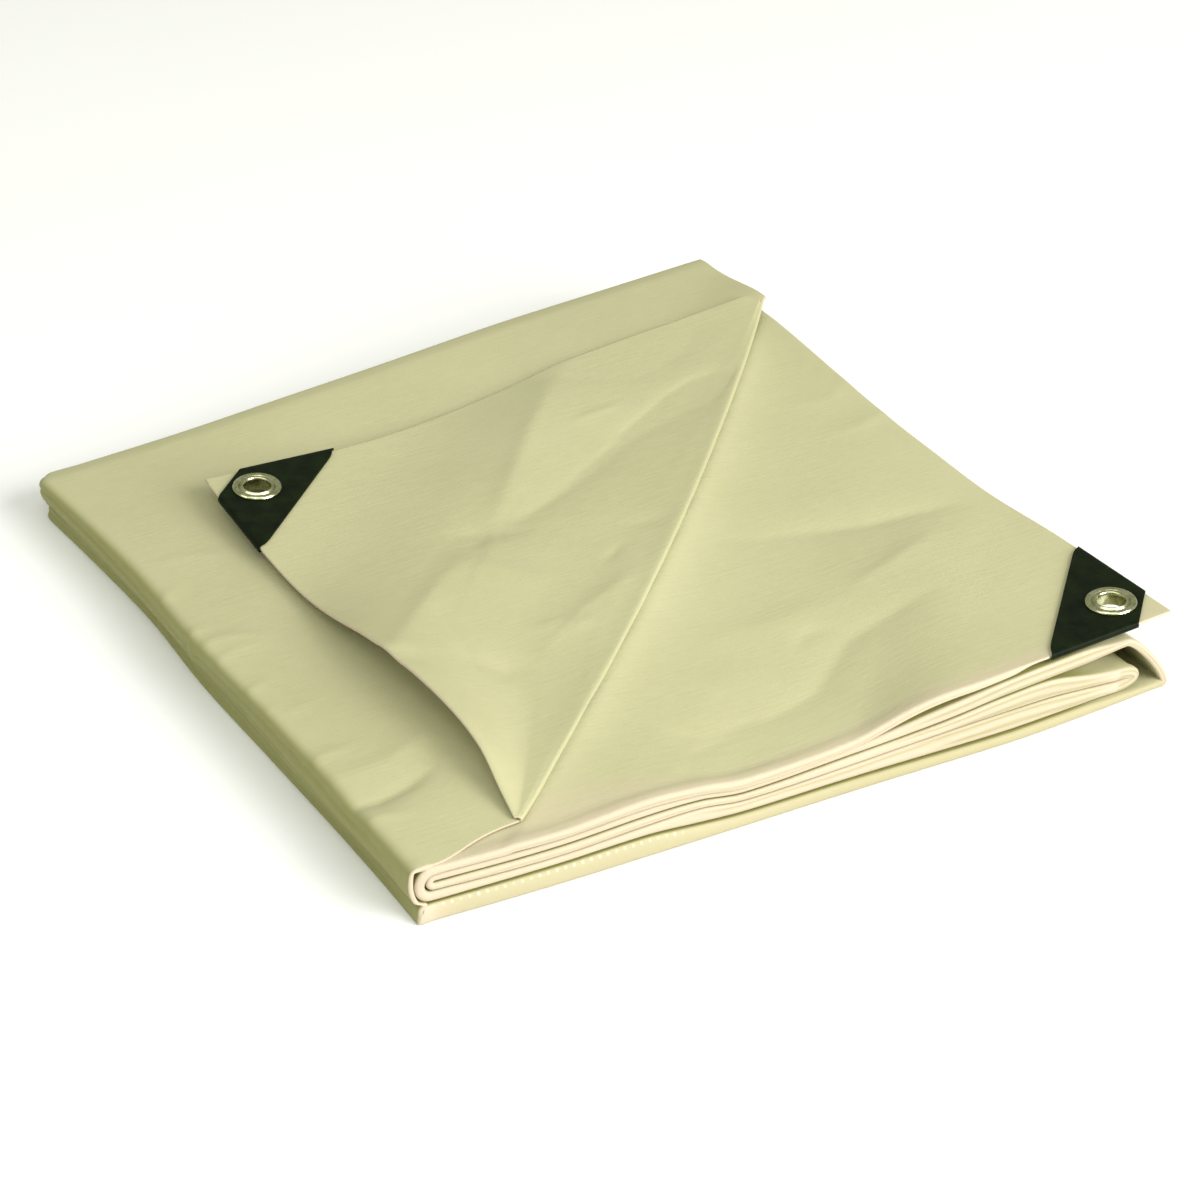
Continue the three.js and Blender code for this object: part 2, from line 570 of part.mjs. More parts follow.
const pieces = [
  { name: 'tarp_cloth', solid: cloth, surface: CLOTH_SURFACE },
  { name: 'patch_right', solid: patchSolid(RIGHT_FRAME), surface: PATCH_SURFACE },
  { name: 'patch_left', solid: patchSolid(LEFT_FRAME), surface: PATCH_SURFACE },
  { name: 'eyelet_right', solid: eyeletSolid(RIGHT_FRAME), surface: EYE_SURFACE },
  { name: 'eyelet_left', solid: eyeletSolid(LEFT_FRAME), surface: EYE_SURFACE },
];

// The bundle stands with the middle of its base at the origin.
const bounds = new THREE.Box3();
const shapes = pieces.map(({ name, solid, surface }) => {
  const geometry = toGeometry(solid);
  geometry.computeBoundingBox();
  bounds.union(geometry.boundingBox);
  return { name, geometry, surface };
});
const centre = bounds.getCenter(new THREE.Vector3());
const part = new THREE.Group();
part.name = 'folded_tarp';
shapes.forEach(({ name, geometry, surface }) => {
  geometry.translate(-centre.x, -centre.y, -bounds.min.z);
  geometry.computeVertexNormals();
  const mesh = new THREE.Mesh(geometry, new THREE.MeshStandardMaterial(surface));
  mesh.name = name;
  part.add(mesh);
});

export default part;
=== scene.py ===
"""Looks of the folded tarp: a thin creased sheet on the folds of the CAD cloth, sewn corner patches,
rolled eyelets, materials, light and camera. Shapes are worked out in millimetres in the drawing frame
of the bundle and moved to the row frame, in metres, when a mesh is made."""

import math

import bpy
import numpy as np
from mathutils import Matrix, Vector


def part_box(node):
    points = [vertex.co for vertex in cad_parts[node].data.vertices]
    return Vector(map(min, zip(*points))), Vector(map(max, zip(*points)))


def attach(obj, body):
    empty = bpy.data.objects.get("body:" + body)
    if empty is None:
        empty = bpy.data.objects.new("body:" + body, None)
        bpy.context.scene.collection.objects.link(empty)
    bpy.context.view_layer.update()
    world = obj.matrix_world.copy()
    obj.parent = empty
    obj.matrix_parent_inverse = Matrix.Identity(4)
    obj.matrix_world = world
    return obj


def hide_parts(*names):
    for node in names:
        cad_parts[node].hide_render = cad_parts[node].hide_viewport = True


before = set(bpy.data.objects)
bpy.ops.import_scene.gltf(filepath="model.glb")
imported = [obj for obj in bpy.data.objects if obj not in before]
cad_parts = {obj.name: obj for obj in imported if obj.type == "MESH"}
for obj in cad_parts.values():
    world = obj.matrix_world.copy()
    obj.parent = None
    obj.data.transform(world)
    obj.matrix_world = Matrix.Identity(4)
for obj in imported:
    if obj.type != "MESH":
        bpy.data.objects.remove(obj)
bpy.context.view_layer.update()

MM = 0.001

# Cloth thicknesses, mm. A run stands for several plies pressed together.
RUN_THICK = 2.6
TOP_THICK = 1.8
CORNER_THICK = 1.2
RUN_GAP = 1.5
EYELET_ROOM = 2.2

# Corner patches and eyelets, mm.
PATCH_LEG = 67
PATCH_CUT = 19.5
PATCH_PLATE = 0.9
PATCH_GAP = 0.3
PATCH_TOTAL = 2 * PATCH_PLATE + 2 * PATCH_GAP + CORNER_THICK
EYE_IN = 19
EYE_BARREL_R = 6.8
SEAM = {"share": 0.2, "half": 0.085, "pitch": 3.7, "to": -52}

# Diagonal fold of the top run, the flap's free corner, and how far the diagonal bows out.
FOLD_FRONT = (-124, -172)
FOLD_RIGHT = (167, 125)
FLAP_CORNER = (-128.8, 114.5)
DIAGONAL_BOW = 9
FOLD_V = 0.845
CORNER_V = 0.409

# Square corner of each patch's top face, and its turn in degrees.
RIGHT_CORNER = {"at": (177.6, -189.1, 37.7), "turn": (-2.5, -0.7, 2.2), "u": (0, 1, 0), "w": (-1, 0, 0)}
LEFT_CORNER = {"at": (-130.4, 116.1, 33.3), "turn": (1.8, 2.2, -1.3), "u": (0, -1, 0), "w": (1, 0, 0)}

# Front edges of the runs: lower and upper limit of each, mm, at stations along the front.
FRONT_X = [-165, -113, -75, -51, -31, 17, 60, 91, 114, 135, 150]
FRONT = {
    "hem": [8.2, 8.4, 9.0, 7.0, 5.6, 5.4, 4.8, 4.6, 4.8, 4.6, 4.0],
    "b2_low": [8.9, 9.0, 9.7, 7.6, 6.2, 6.0, 5.5, 5.3, 5.4, 5.2, 4.7],
    "b2_high": [13.2, 12.5, 14.2, 14.2, 11.4, 12.2, 14.0, 14.8, 14.3, 12.1, 10.2],
    "b3_low": [13.8, 13.1, 14.8, 14.8, 12.0, 12.8, 14.7, 15.5, 15.1, 12.8, 10.9],
    "b3_high": [17.3, 16.9, 18.6, 18.0, 15.0, 17.0, 19.6, 23.0, 23.6, 19.0, 16.4],
    "a_low": [17.9, 17.5, 19.2, 18.6, 15.6, 17.6, 20.3, 23.8, 25.0, 25.4, 25.2],
    "a_high": [21.2, 20.5, 22.6, 21.2, 18.0, 21.0, 26.8, 30.6, 32.0, 32.2, 31.6],
    "s2_low": [21.8, 21.1, 23.2, 21.8, 18.6, 21.6, 27.5, 31.3, 34.0, 34.4, 34.6],
    "s2_high": [25.4, 25.2, 27.8, 26.2, 23.4, 25.6, 31.6, 34.6, 35.2, 35.6, 35.8],
}
EDGE_FADE = 70

# Height of the second run's middle, and how far the top run's middle lies above it.
SECOND_X = [-165, -113, -56, 17, 66, 113, 172]
SECOND_Y = [-186, -120, -60, 0, 60, 120, 180]
SECOND_Z = [
    [23.4, 23.2, 25.0, 23.8, 30.0, 34.2, 36.0],
    [21.8, 22.8, 24.2, 24.6, 28.4, 32.4, 33.4],
    [21.2, 22.4, 24.0, 25.4, 27.2, 29.4, 30.6],
    [20.2, 21.4, 23.6, 25.8, 27.4, 29.0, 30.2],
    [18.8, 19.4, 21.2, 24.8, 28.0, 29.6, 31.2],
    [17.6, 18.0, 19.6, 23.8, 28.2, 30.8, 32.8],
    [17.0, 18.8, 21.8, 26.6, 29.6, 31.6, 33.6],
]
TOP_X = [-165, -113, -56, 17, 90, 168]
TOP_Y = [-186, -100, 0, 180]
TOP_LIFT = [
    [2.9, 3.4, 3.2, 3.0, 3.0, 3.0],
    [3.0, 3.2, 3.0, 3.0, 3.0, 3.0],
    [3.0, 3.2, 3.0, 3.0, 3.0, 3.0],
    [3.1, 3.2, 3.2, 3.2, 3.2, 3.2],
]

# Outline of the bundle from above, and where the strip's rows begin and end.
ROW_FRONT, ROW_BACK = -186, 180
SPINE = {
    "y": [-182, -117, -53, 11, 71, 130, 178],
    "x": [-175.4, -176.4, -178.6, -181.2, -180.4, -183.6, -187.6],
}
FRONT_EDGE = {
    "x": [-180, -131, -87, 23, 90, 113, 177],
    "y": [-180.5, -184, -186, -189, -191.6, -191.6, -189.1],
}
BACK_EDGE = {"x": [-186, -68, 110, 176], "y": [174, 177, 182, 184]}
RIGHT_EDGE = {
    "y": [-190, -156, -122, -100, -60, 0, 82, 127, 184],
    "x": [176.1, 174.8, 173.5, 172, 168.6, 167, 168.2, 168.2, 167],
}

# Outline of the flap: its left edge from the front, and its back edge from the corner.
FLAP_LEFT = {
    "at": [0, 0.05, 0.12, 0.2, 0.3, 0.42, 0.58, 0.75, 0.88, 1],
    "x": [-125.5, -124, -122, -122, -123.5, -126.5, -129.4, -130.4, -129.6, -128.8],
    "z": [28.4, 32.4, 39.0, 42.0, 42.0, 39.6, 34.8, 31.0, 31.0, 31.4],
}
FLAP_BACK = {
    "at": [0, 0.12, 0.24, 0.45, 0.7, 0.86, 1],
    "y": [114.5, 113.8, 113.2, 119.5, 127, 131, 131],
    "z": [31.4, 29.8, 28.2, 30.4, 32.8, 36.8, 41.6],
}
FLAP_CLEAR = 1.2
ROLL_R, ROLL_THICK, ROLL_LIFT = 0.9, 1.0, 2.5
# The plies are pressed together beside the diagonal, over this distance.
PRESSED = {"from": 85, "full": 1}
# Both runs rise to a blunt ridge along the diagonal, and the second run swells up against the roll:
# height, how far it reaches, mm, and the share of the diagonal at which it ends. The top run drops a
# little at the back edge.
RIDGE = {
    "at": [0, 0.05, 0.15, 0.4, 0.7, 0.9, 1],
    "high": [0, 0.8, 2.6, 3.8, 3.5, 1.8, 0],
    "left": 22,
    "right": 14,
    "end": 1.03,
    "end_fade": 0.06,
}
SWELL = {
    "at": [0, 0.03, 0.12, 0.35, 0.7, 0.9, 1],
    "high": [0.6, 1.8, 2.5, 2.6, 2.5, 1.8, 0],
    "wide": [16, 14, 11, 9, 8, 7, 6],
    "end": 1.02,
    "end_fade": 0.04,
}
BACK_DROP = {"high": 1.3, "reach": 9}

# The top run stands off the one below at the diagonal's end, and its corner there juts out, mm.
END_RISE = {"at": (170, 130), "high": 3.2, "reach": 24, "out": 4.0, "fade": 0.13}
# The bundle's back left corner is rounded, over this distance along the spine.
CORNER_ROUND = 8

# Fold radii at the spine side, how far in the inner loops start there, and how much further in the
# middle one lies behind the front, clear of the grooves in the outer fold.
SPINE_FOLD = {"outer": 9, "middle": 5.2, "inner": 2.4}
MIDDLE_STEP, INNER_STEP = 3.2, 7.6
MIDDLE_CLEAR = 1.5
# Open side: where runs a, b0 and the inner loop end, how far their folds swing out, and the form of
# the open fold's curve.
OPEN_A, OPEN_B0, OPEN_LOOP = 153, 173.5, 149
LOOP_OUT, OPEN_OUT = 9.5, 5
OPEN_FORM = (0.8, 1.1)
# Thickness of the hems at the front edge, where the runs start to thin towards both ends, and how far
# in from the outline each run's front and back edges lie.
OPEN_HEM, LOOP_HEM, TOP_HEM = 3.4, 5.4, 2.5
MIDDLE_HEM, INNER_HEM = 4.6, 3.2
THIN_FROM = {"left": -150, "right": 130}
FRONT_INSET = {"t": 0.6, "s2": 0.4, "a": 1.4, "b3": 1.1, "b2": 1.6, "b0": 0.3}
BACK_INSET = {"t": 0.6, "s2": 5.5, "a": 3.4, "b3": 4.6, "b2": 2.6, "b0": 0.8}
LOWER_RUNS = ["b0", "b2", "b3", "a"]


def mix(a, b, t):
    return a + (b - a) * t


def ease(t):
    t = np.clip(t, 0, 1)
    return t * t * (3 - 2 * t)


def smooth(stations, values, at):
    """Smooth curve through the stations; values may give each point of `at` its own column."""
    xs = np.asarray(stations, float)
    shape = np.shape(at)
    at = np.clip(np.asarray(at, float).ravel(), xs[0], xs[-1])
    ys = np.asarray(values, float)
    ys = np.broadcast_to(ys.reshape(len(xs), -1), (len(xs), at.size))
    lo = np.maximum(np.arange(len(xs)) - 1, 0)
    hi = np.minimum(np.arange(len(xs)) + 1, len(xs) - 1)
    slopes = (ys[hi] - ys[lo]) / (xs[hi] - xs[lo])[:, None]
    i = np.clip(np.searchsorted(xs, at) - 1, 0, len(xs) - 2)
    column = np.arange(at.size)
    h = xs[i + 1] - xs[i]
    t = (at - xs[i]) / h
    t2, t3 = t * t, t * t * t
    made = (
        (2 * t3 - 3 * t2 + 1) * ys[i, column]
        + (t3 - 2 * t2 + t) * slopes[i, column] * h
        + (3 * t2 - 2 * t3) * ys[i + 1, column]
        + (t3 - t2) * slopes[i + 1, column] * h
    )
    return made.reshape(shape)


def field(xs, ys, table, x, y):
    rows = np.array([smooth(xs, row, x).ravel() for row in table])
    return smooth(ys, rows, y)


def front_y(x):
    return smooth(FRONT_EDGE["x"], FRONT_EDGE["y"], x)


def back_y(x):
    return smooth(BACK_EDGE["x"], BACK_EDGE["y"], x)


def corner_frame(corner):
    """A patch's own axes: u and w along the cloth's two edges, in from the corner, and n upward."""
    rx, ry, rz = (math.radians(a) for a in corner["turn"])
    turn = Matrix.Rotation(rz, 3, "Z") @ Matrix.Rotation(ry, 3, "Y") @ Matrix.Rotation(rx, 3, "X")
    u, w = turn @ Vector(corner["u"]), turn @ Vector(corner["w"])
    n = u.cross(w).normalized()
    return {"origin": np.array(corner["at"]), "u": np.array(u), "w": np.array(w), "n": np.array(n)}


RIGHT_FRAME = corner_frame(RIGHT_CORNER)
LEFT_FRAME = corner_frame(LEFT_CORNER)
RIGHT_FLAT = {"reach": PATCH_LEG + 40, "fade": 60}
RIGHT_THIN = {"reach": PATCH_LEG + 4, "fade": 14}
LEFT_FLAT = {"reach": PATCH_LEG + 8, "fade": 95}


def in_frame(own, u, w, n):
    """Point (u, w, n) of a patch's own axes in the drawing frame."""
    u, w, n = np.broadcast_arrays(u, w, n)
    return own["origin"] + u[..., None] * own["u"] + w[..., None] * own["w"] + n[..., None] * own["n"]


def corner_plane(own, x, y):
    """Height of the cloth's middle in a patch's plane, and how far the point is from the corner,
    as the sum of its distances along both edges."""
    n, o = own["n"], own["origin"]
    z = o[2] - (n[0] * (x - o[0]) + n[1] * (y - o[1])) / n[2] - PATCH_TOTAL / 2
    du = (x - o[0]) * own["u"][0] + (y - o[1]) * own["u"][1]
    dw = (x - o[0]) * own["w"][0] + (y - o[1]) * own["w"][1]
    return z, du + dw


def corner_weight(flat, reach):
    return 1 - ease((reach - flat["reach"]) / flat["fade"])


def edge_band(run, x):
    if run == "b0":
        return np.zeros_like(x), smooth(FRONT_X, FRONT["hem"], x)
    return smooth(FRONT_X, FRONT[run + "_low"], x), smooth(FRONT_X, FRONT[run + "_high"], x)


def near_front(x, y):
    return 1 - ease((y - front_y(x)) / EDGE_FADE)


FOLD_LENGTH = math.dist(FOLD_FRONT, FOLD_RIGHT)
FOLD_AHEAD = [(b - a) / FOLD_LENGTH for a, b in zip(FOLD_FRONT, FOLD_RIGHT)]
FOLD_SIDE = (FOLD_AHEAD[1], -FOLD_AHEAD[0])


def diagonal_bow(t):
    return DIAGONAL_BOW * np.sin(np.pi * t) ** 0.8


def beside_diagonal(x, y):
    """Share along the diagonal, that share kept within its ends, and distance to the right of it."""
    dx, dy = x - FOLD_FRONT[0], y - FOLD_FRONT[1]
    along = (dx * FOLD_AHEAD[0] + dy * FOLD_AHEAD[1]) / FOLD_LENGTH
    t = np.clip(along, 0, 1)
    return along, t, dx * FOLD_SIDE[0] + dy * FOLD_SIDE[1] - diagonal_bow(t)


def pressed(x, y):
    """1 at the diagonal, where the plies are pressed together, and 0 away from it."""
    out = np.abs(beside_diagonal(x, y)[2])
    return 1 - ease((out - PRESSED["full"]) / (PRESSED["from"] - PRESSED["full"]))


def height_along(form, along, t):
    return smooth(form["at"], form["high"], t) * ease((form["end"] - along) / form["end_fade"])


def ridge(x, y):
    """Rise of both runs along the diagonal."""
    along, t, out = beside_diagonal(x, y)
    away = np.hypot(out, 2) - 2
    return height_along(RIDGE, along, t) * np.exp(-away / np.where(out > 0, RIDGE["right"], RIDGE["left"]))


def swell(x, y):
    """Rise of the second run beside the fold of the top run, so that the two meet without a gap."""
    along, t, out = beside_diagonal(x, y)
    reach = ROLL_R + ROLL_THICK / 2
    beside = out - 0.9 * reach
    beyond = np.exp(-np.maximum(beside, 0) / smooth(SWELL["at"], SWELL["wide"], t))
    return height_along(SWELL, along, t) * np.where(beside > 0, beyond, ease(1 + beside / (1.6 * reach)))


def free_second_z(x, y):
    """Height of the second run's middle, away from its patch."""
    low, high = edge_band("s2", x)
    return mix(field(SECOND_X, SECOND_Y, SECOND_Z, x, y), (low + high) / 2, near_front(x, y))


def second_z(x, y):
    plane, reach = corner_plane(RIGHT_FRAME, x, y)
    return mix(free_second_z(x, y), plane, corner_weight(RIGHT_FLAT, reach))


def lower_run(run, x, y):
    plane, reach = corner_plane(RIGHT_FRAME, x, y)
    free = field(SECOND_X, SECOND_Y, SECOND_Z, x, y)
    second = mix(free, plane - EYELET_ROOM, corner_weight(RIGHT_FLAT, reach))
    share = (second - RUN_THICK / 2) / len(LOWER_RUNS)
    inner_low = share * LOWER_RUNS.index(run)
    low, high = edge_band(run, x)
    near = near_front(x, y)
    low = mix(inner_low, low, near)
    high = mix(inner_low + share - RUN_GAP, high, near)
    return (low + high) / 2, high - low


def run_z(run, x, y):
    if run == "s2":
        return second_z(x, y)
    if run == "b0":
        return np.full_like(x, RUN_THICK / 2)
    return lower_run(run, x, y)[0]


def end_rise(x, y):
    away = np.hypot(x - END_RISE["at"][0], y - END_RISE["at"][1])
    return END_RISE["high"] * np.exp(-((away / END_RISE["reach"]) ** 2))


def top_z(x, y):
    back_drop = BACK_DROP["high"] * ease((y - back_y(x) + BACK_DROP["reach"]) / BACK_DROP["reach"])
    lift = field(TOP_X, TOP_Y, TOP_LIFT, x, y) - back_drop
    lift = mix(lift, np.minimum(lift, ROLL_LIFT), pressed(x, y))
    return free_second_z(x, y) + lift + ridge(x, y) + end_rise(x, y)


# Mesh of the cloth: rows go from the front to the back, columns along the strip. The rows that
# show are fine, and the hidden ones take every few of them.
ROW_KEYS = [0.034, CORNER_V, FOLD_V, 1]
ROW_COUNTS = [56, 64, 24]
FRONT_ROWS = [0, 0.0015, 0.004, 0.008, 0.013, 0.019, 0.025, 0.0295]
COLUMNS = {
    "s2": 120, "fold_middle": 14, "b2": 80, "loop": 14, "b3": 80, "fold_inner": 10,
    "a": 76, "open_fold": 26, "b0": 76, "fold_outer": 44, "top": 108, "roll": 10, "flap": 100,
}
FINE, MEDIUM, COARSE = 1, 4, 8
ROWS_SHOWN = {
    "s2": (COARSE, FINE), "fold_middle": (COARSE, MEDIUM), "open_fold": (MEDIUM, MEDIUM),
    "fold_outer": (FINE, COARSE), "top": (FINE, COARSE), "roll": (COARSE, FINE), "flap": (MEDIUM, FINE),
}
FRONT_POINTS, EDGE_POINTS = 11, 4


def row_values():
    rows = list(FRONT_ROWS)
    for low, high, count in zip(ROW_KEYS, ROW_KEYS[1:], ROW_COUNTS):
        rows += list(np.linspace(low, high, count, endpoint=False))
    return np.array(rows + [1.0])


V = row_values()
FRONT_COUNT = len(FRONT_ROWS)
FOLD_ROW = int(np.argmin(abs(V - FOLD_V)))


def row_subset(step):
    """Rows used at a given coarseness; the front ones stay closer together."""
    if step == FINE:
        return list(range(len(V)))
    front = [0, 2, 4] if step == COARSE else [0, 1, 2, 4, 6]
    return front + list(range(FRONT_COUNT, len(V), step))


# Creases that show: how far each reaches to its line's left and right, its height, which is below
# zero for a trough, and the points of the line as seen from above, in the drawing frame.
CREASES = {
    # Flap: two long creases from its edges, the valley that runs in from the diagonal, and small ones.
    "flap": [
        (26, 12, 3.2, [(57, 123), (44, 110), (15, 78), (-12, 45), (-36, 16)]),
        (26, 12, 3.0, [(-58, -1), (-77, -14), (-100, -36), (-127, -65)]),
        (11, 3, -2.6, [(128, 72), (116, 77), (103, 77), (87, 72), (70, 63), (52, 55)]),
        (10, 14, -2.0, [(60, 60), (35, 43), (8, 29), (-17, 18), (-35, 14), (-54, 17)]),
        (7, 18, 1.4, [(-61, -1), (-47, -19), (-34, -34)]),
        (14, 8, 1.4, [(4, -47), (-10, -51), (-34, -61), (-60, -77)]),
        (6, 8, -2.0, [(-93, -74), (-77, -90), (-68, -103), (-60, -114), (-52, -122)]),
        (2.5, 3, 0.9, [(-57, -105), (-44, -108)]),
        (2, 2, -0.9, [(-54, 18), (-40, 12), (-26, 6)]),
        (2, 2, -0.7, [(-54, 7), (-44, 7), (-35, 6)]),
        (2, 2.5, 0.7, [(-44, -70), (-33, -69)]),
        (2, 2.5, 0.7, [(-58, -62), (-46, -64)]),
        (1.8, 1.8, -0.7, [(-7, -32), (5, -25)]),
        (2, 2, -0.7, [(16, -12), (33, -20)]),
        (2, 2.5, 0.6, [(40, 76), (60, 77)]),
        (2, 2, -0.6, [(-89, -33), (-91, -60), (-93, -78)]),
        (3.5, 3.5, 0.7, [(-112, -62), (-132, -58)]),
        (3.5, 3.5, -0.6, [(-112, -70), (-130, -71)]),
    ],
    # Left half of the top: wrinkles that come in over the spine edge, and two broad hollows.
    "s1": [
        (2.5, 4, 0.8, [(-188, -4), (-180, 2), (-173, 4), (-166, 3), (-154, -3)]),
        (2.5, 3.5, 0.6, [(-188, -18), (-178, -10), (-168, -6), (-157, -8)]),
        (2.5, 3, 0.6, [(-188, -44), (-177, -38), (-169, -34)]),
        (2.5, 3, 0.5, [(-188, -58), (-180, -53), (-173, -56)]),
        (2.5, 3, 0.3, [(-179, -62), (-157, -57)]),
        (2.5, 4, 0.7, [(-188, -102), (-172, -95), (-158, -95)]),
        (8, 3, -2.0, [(-184, -132), (-166, -134), (-152, -131), (-138, -125)]),
        (2.5, 3, 0.7, [(-186, -156), (-180, -147), (-173, -144), (-157, -147)]),
        (2.5, 3, 0.6, [(-188, 41), (-180, 46), (-174, 50)]),
        (2, 2.5, 1.0, [(-190, 8), (-184, 13), (-177, 16)]),
        (2, 3, 0.3, [(-172, 74), (-156, 72), (-132, 65)]),
        (12, 12, 1.4, [(-176, -112), (-150, -112), (-112, -96)]),
    ],
    # Right half: a few bent scars and slow hollows.
    "s2": [
        (2, 2.5, -0.7, [(34, -123), (40, -117), (46, -117), (51, -122)]),
        (2, 2.5, -0.7, [(-12, -133), (-9, -141), (-7, -151)]),
        (2, 2.5, -0.7, [(-43, -165), (-33, -162), (-25, -161)]),
        (2, 2, -0.9, [(-53, -173), (-51, -180)]),
        (2, 2.5, -0.6, [(-46, -146), (-36, -156)]),
        (6, 13, 1.2, [(76, -99), (95, -94), (128, -83)]),
        (14, 9, -2.0, [(156, -66), (108, -59), (86, -51), (40, -37)]),
        (12, 9, -1.6, [(104, -120), (54, -130), (25, -152), (1, -157), (-43, -154)]),
        (12, 14, 0.9, [(-2, -97), (29, -103), (66, -102)]),
        (5, 7, 0.7, [(171, 52), (150, 40), (128, 44)]),
        (4, 6, 0.7, [(169, 18), (150, 12), (136, 14)]),
    ],
}
CREASE_ROUND = 0.4


def line_distance(x, y, points):
    """Distance to a bent line, how far along it the nearest point is, and which side lies to its left."""
    best = np.full(x.shape, 1e9)
    along = np.zeros(x.shape)
    on_left = np.zeros(x.shape, bool)
    lengths = [math.dist(a, b) for a, b in zip(points, points[1:])]
    done, total = 0.0, sum(lengths)
    for (ax, ay), (bx, by), length in zip(points, points[1:], lengths):
        t = np.clip(((x - ax) * (bx - ax) + (y - ay) * (by - ay)) / length**2, 0, 1)
        d = np.hypot(x - ax - t * (bx - ax), y - ay - t * (by - ay))
        nearer = d < best
        best = np.where(nearer, d, best)
        along = np.where(nearer, (done + t * length) / total, along)
        on_left = np.where(nearer, (bx - ax) * (y - ay) - (by - ay) * (x - ax) > 0, on_left)
        done += length
    return best, along, on_left


def crease_height(surface, x, y):
    height = np.zeros(x.shape)
    for left, right, high, line in CREASES[surface]:
        d, along, on_left = line_distance(x, y, line)
        d = np.hypot(d, CREASE_ROUND) - CREASE_ROUND
        fade = np.sin(np.pi * np.clip(0.04 + 0.92 * along, 0, 1)) ** 0.5
        height += high * fade * np.exp(-d / np.where(on_left, left, right))
    return height


def unevenness(x, y, seed):
    """Slow waves of the loose cloth, a few tenths of a millimetre."""
    a, b = x / 61 + seed, y / 53 - seed * 1.7
    wide = np.sin(a + 1.3 * np.sin(b)) * np.cos(b * 0.8 + 0.9 * np.sin(a * 0.7))
    narrow = np.sin(x / 17 + 2.1 * np.sin(y / 29 + seed)) * np.sin(y / 23 + seed * 2)
    return 0.42 * wide + 0.15 * narrow


def hem_weight(v):
    """1 at a front edge, where a run has its whole band's height, and 0 behind the hem."""
    return 1 - ease((v - 0.005) / 0.014)


def run_y(run, x, v):
    tuck = 1.1 * ease((x - 70) / 30) if run == "s2" else 0
    inset = 8 * ease((x + 168) / 44) if run == "t" else 0
    return mix(front_y(x) + FRONT_INSET[run] + tuck + inset, back_y(x) - BACK_INSET[run], v)


def run_points(run, x_from, x_to, v, count):
    """One run of the strip, from x_from to x_to, as points x, y, z and thickness for each row."""
    t = np.linspace(0, 1, count + 1)
    x = mix(x_from, x_to, t)
    v = np.broadcast_to(v, x.shape)
    y = run_y(run, x, v)
    if run == "s2":
        low, high = edge_band(run, x)
        reach = corner_plane(RIGHT_FRAME, x, y)[1]
        flat = corner_weight(RIGHT_FLAT, reach)
        band = mix(RUN_THICK, mix(MIDDLE_HEM, high - low, ease((x + 172) / 14)), hem_weight(v))
        thick = mix(band, CORNER_THICK, corner_weight(RIGHT_THIN, reach))
        relief = (crease_height("s2", x, y) + unevenness(x, y, 0.4)) * (1 - 0.8 * pressed(x, y))
        relief = relief + swell(x, y) + ridge(x, y)
        z = second_z(x, y) + relief * (1 - flat) + flat * (CORNER_THICK - thick) / 2
        return x, y, z, thick
    z, thick = lower_run(run, x, y)
    right = {"b0": OPEN_B0, "a": OPEN_A}.get(run, OPEN_LOOP)
    left = np.minimum(x_from, x_to)
    hem = hem_weight(v)
    thin = ease((THIN_FROM["left"] - x) / (THIN_FROM["left"] - left))
    left_end = {"b2": MIDDLE_HEM, "b3": INNER_HEM, "a": INNER_HEM}.get(run, RUN_THICK)
    thick = mix(thick, mix(RUN_THICK, left_end, hem), thin * (1 - hem) if run == "b0" else thin)
    right_end = {"a": OPEN_HEM, "b0": OPEN_HEM}.get(run, LOOP_HEM)
    thin = ease((x - THIN_FROM["right"]) / (right - THIN_FROM["right"]))
    thick = mix(thick, mix(RUN_THICK, right_end, hem), thin)
    return x, y, (thick / 2 if run == "b0" else z), thick


def fold_points(name, run_from, run_to, x_from, x_to, out, v, hem):
    """The fold between two runs, swinging out by `out`, without its two ends. At the front edge it is
    `hem` thick."""
    square, tall = OPEN_FORM if name == "open_fold" else (1, 1)
    y_from, y_to = run_y(run_from, x_from, v), run_y(run_to, x_to, v)
    z_from = run_z(run_from, x_from, y_from)
    z_end = run_z(run_to, x_to, y_to)
    t = np.linspace(0, 1, COLUMNS[name] + 1)[1:-1]
    angle = np.pi * t
    side = np.sign(np.cos(angle)) * abs(np.cos(angle)) ** tall
    part = (1 - side) / 2
    x = mix(x_from, x_to, part) + out * np.sin(angle) ** square
    y = mix(y_from, y_to, part)
    z = mix(z_from, z_end, part)
    return x, y, z, mix(RUN_THICK, hem, hem_weight(v)) + 0 * x


# Section of the spine side: share along it, how far out its outer and inner skins lie of the outer
# fold's start, and how high, as a share of the top's height. Near the front the bottom hem fills it.
SPINE_SECTION = {
    "at": [0, 0.1, 0.15, 0.34, 0.42, 0.58, 0.74, 0.84, 0.92, 1],
    "out": [0, 6.4, 7.3, 6.8, 8.6, 10.4, 10.3, 9.3, 6.2, 0],
    "up": [0, 0, 0.03, 0.31, 0.4, 0.6, 0.82, 0.94, 0.995, 1],
    "out_in": [0, 3.4, 4.2, 4.0, 6.4, 8.2, 8.2, 7.4, 5.6, 0],
    "thick": [2.6, 2.6, 2.9, 2.7, 2.2, 2.1, 2.1, 2.1, 1.8, 1.8],
}
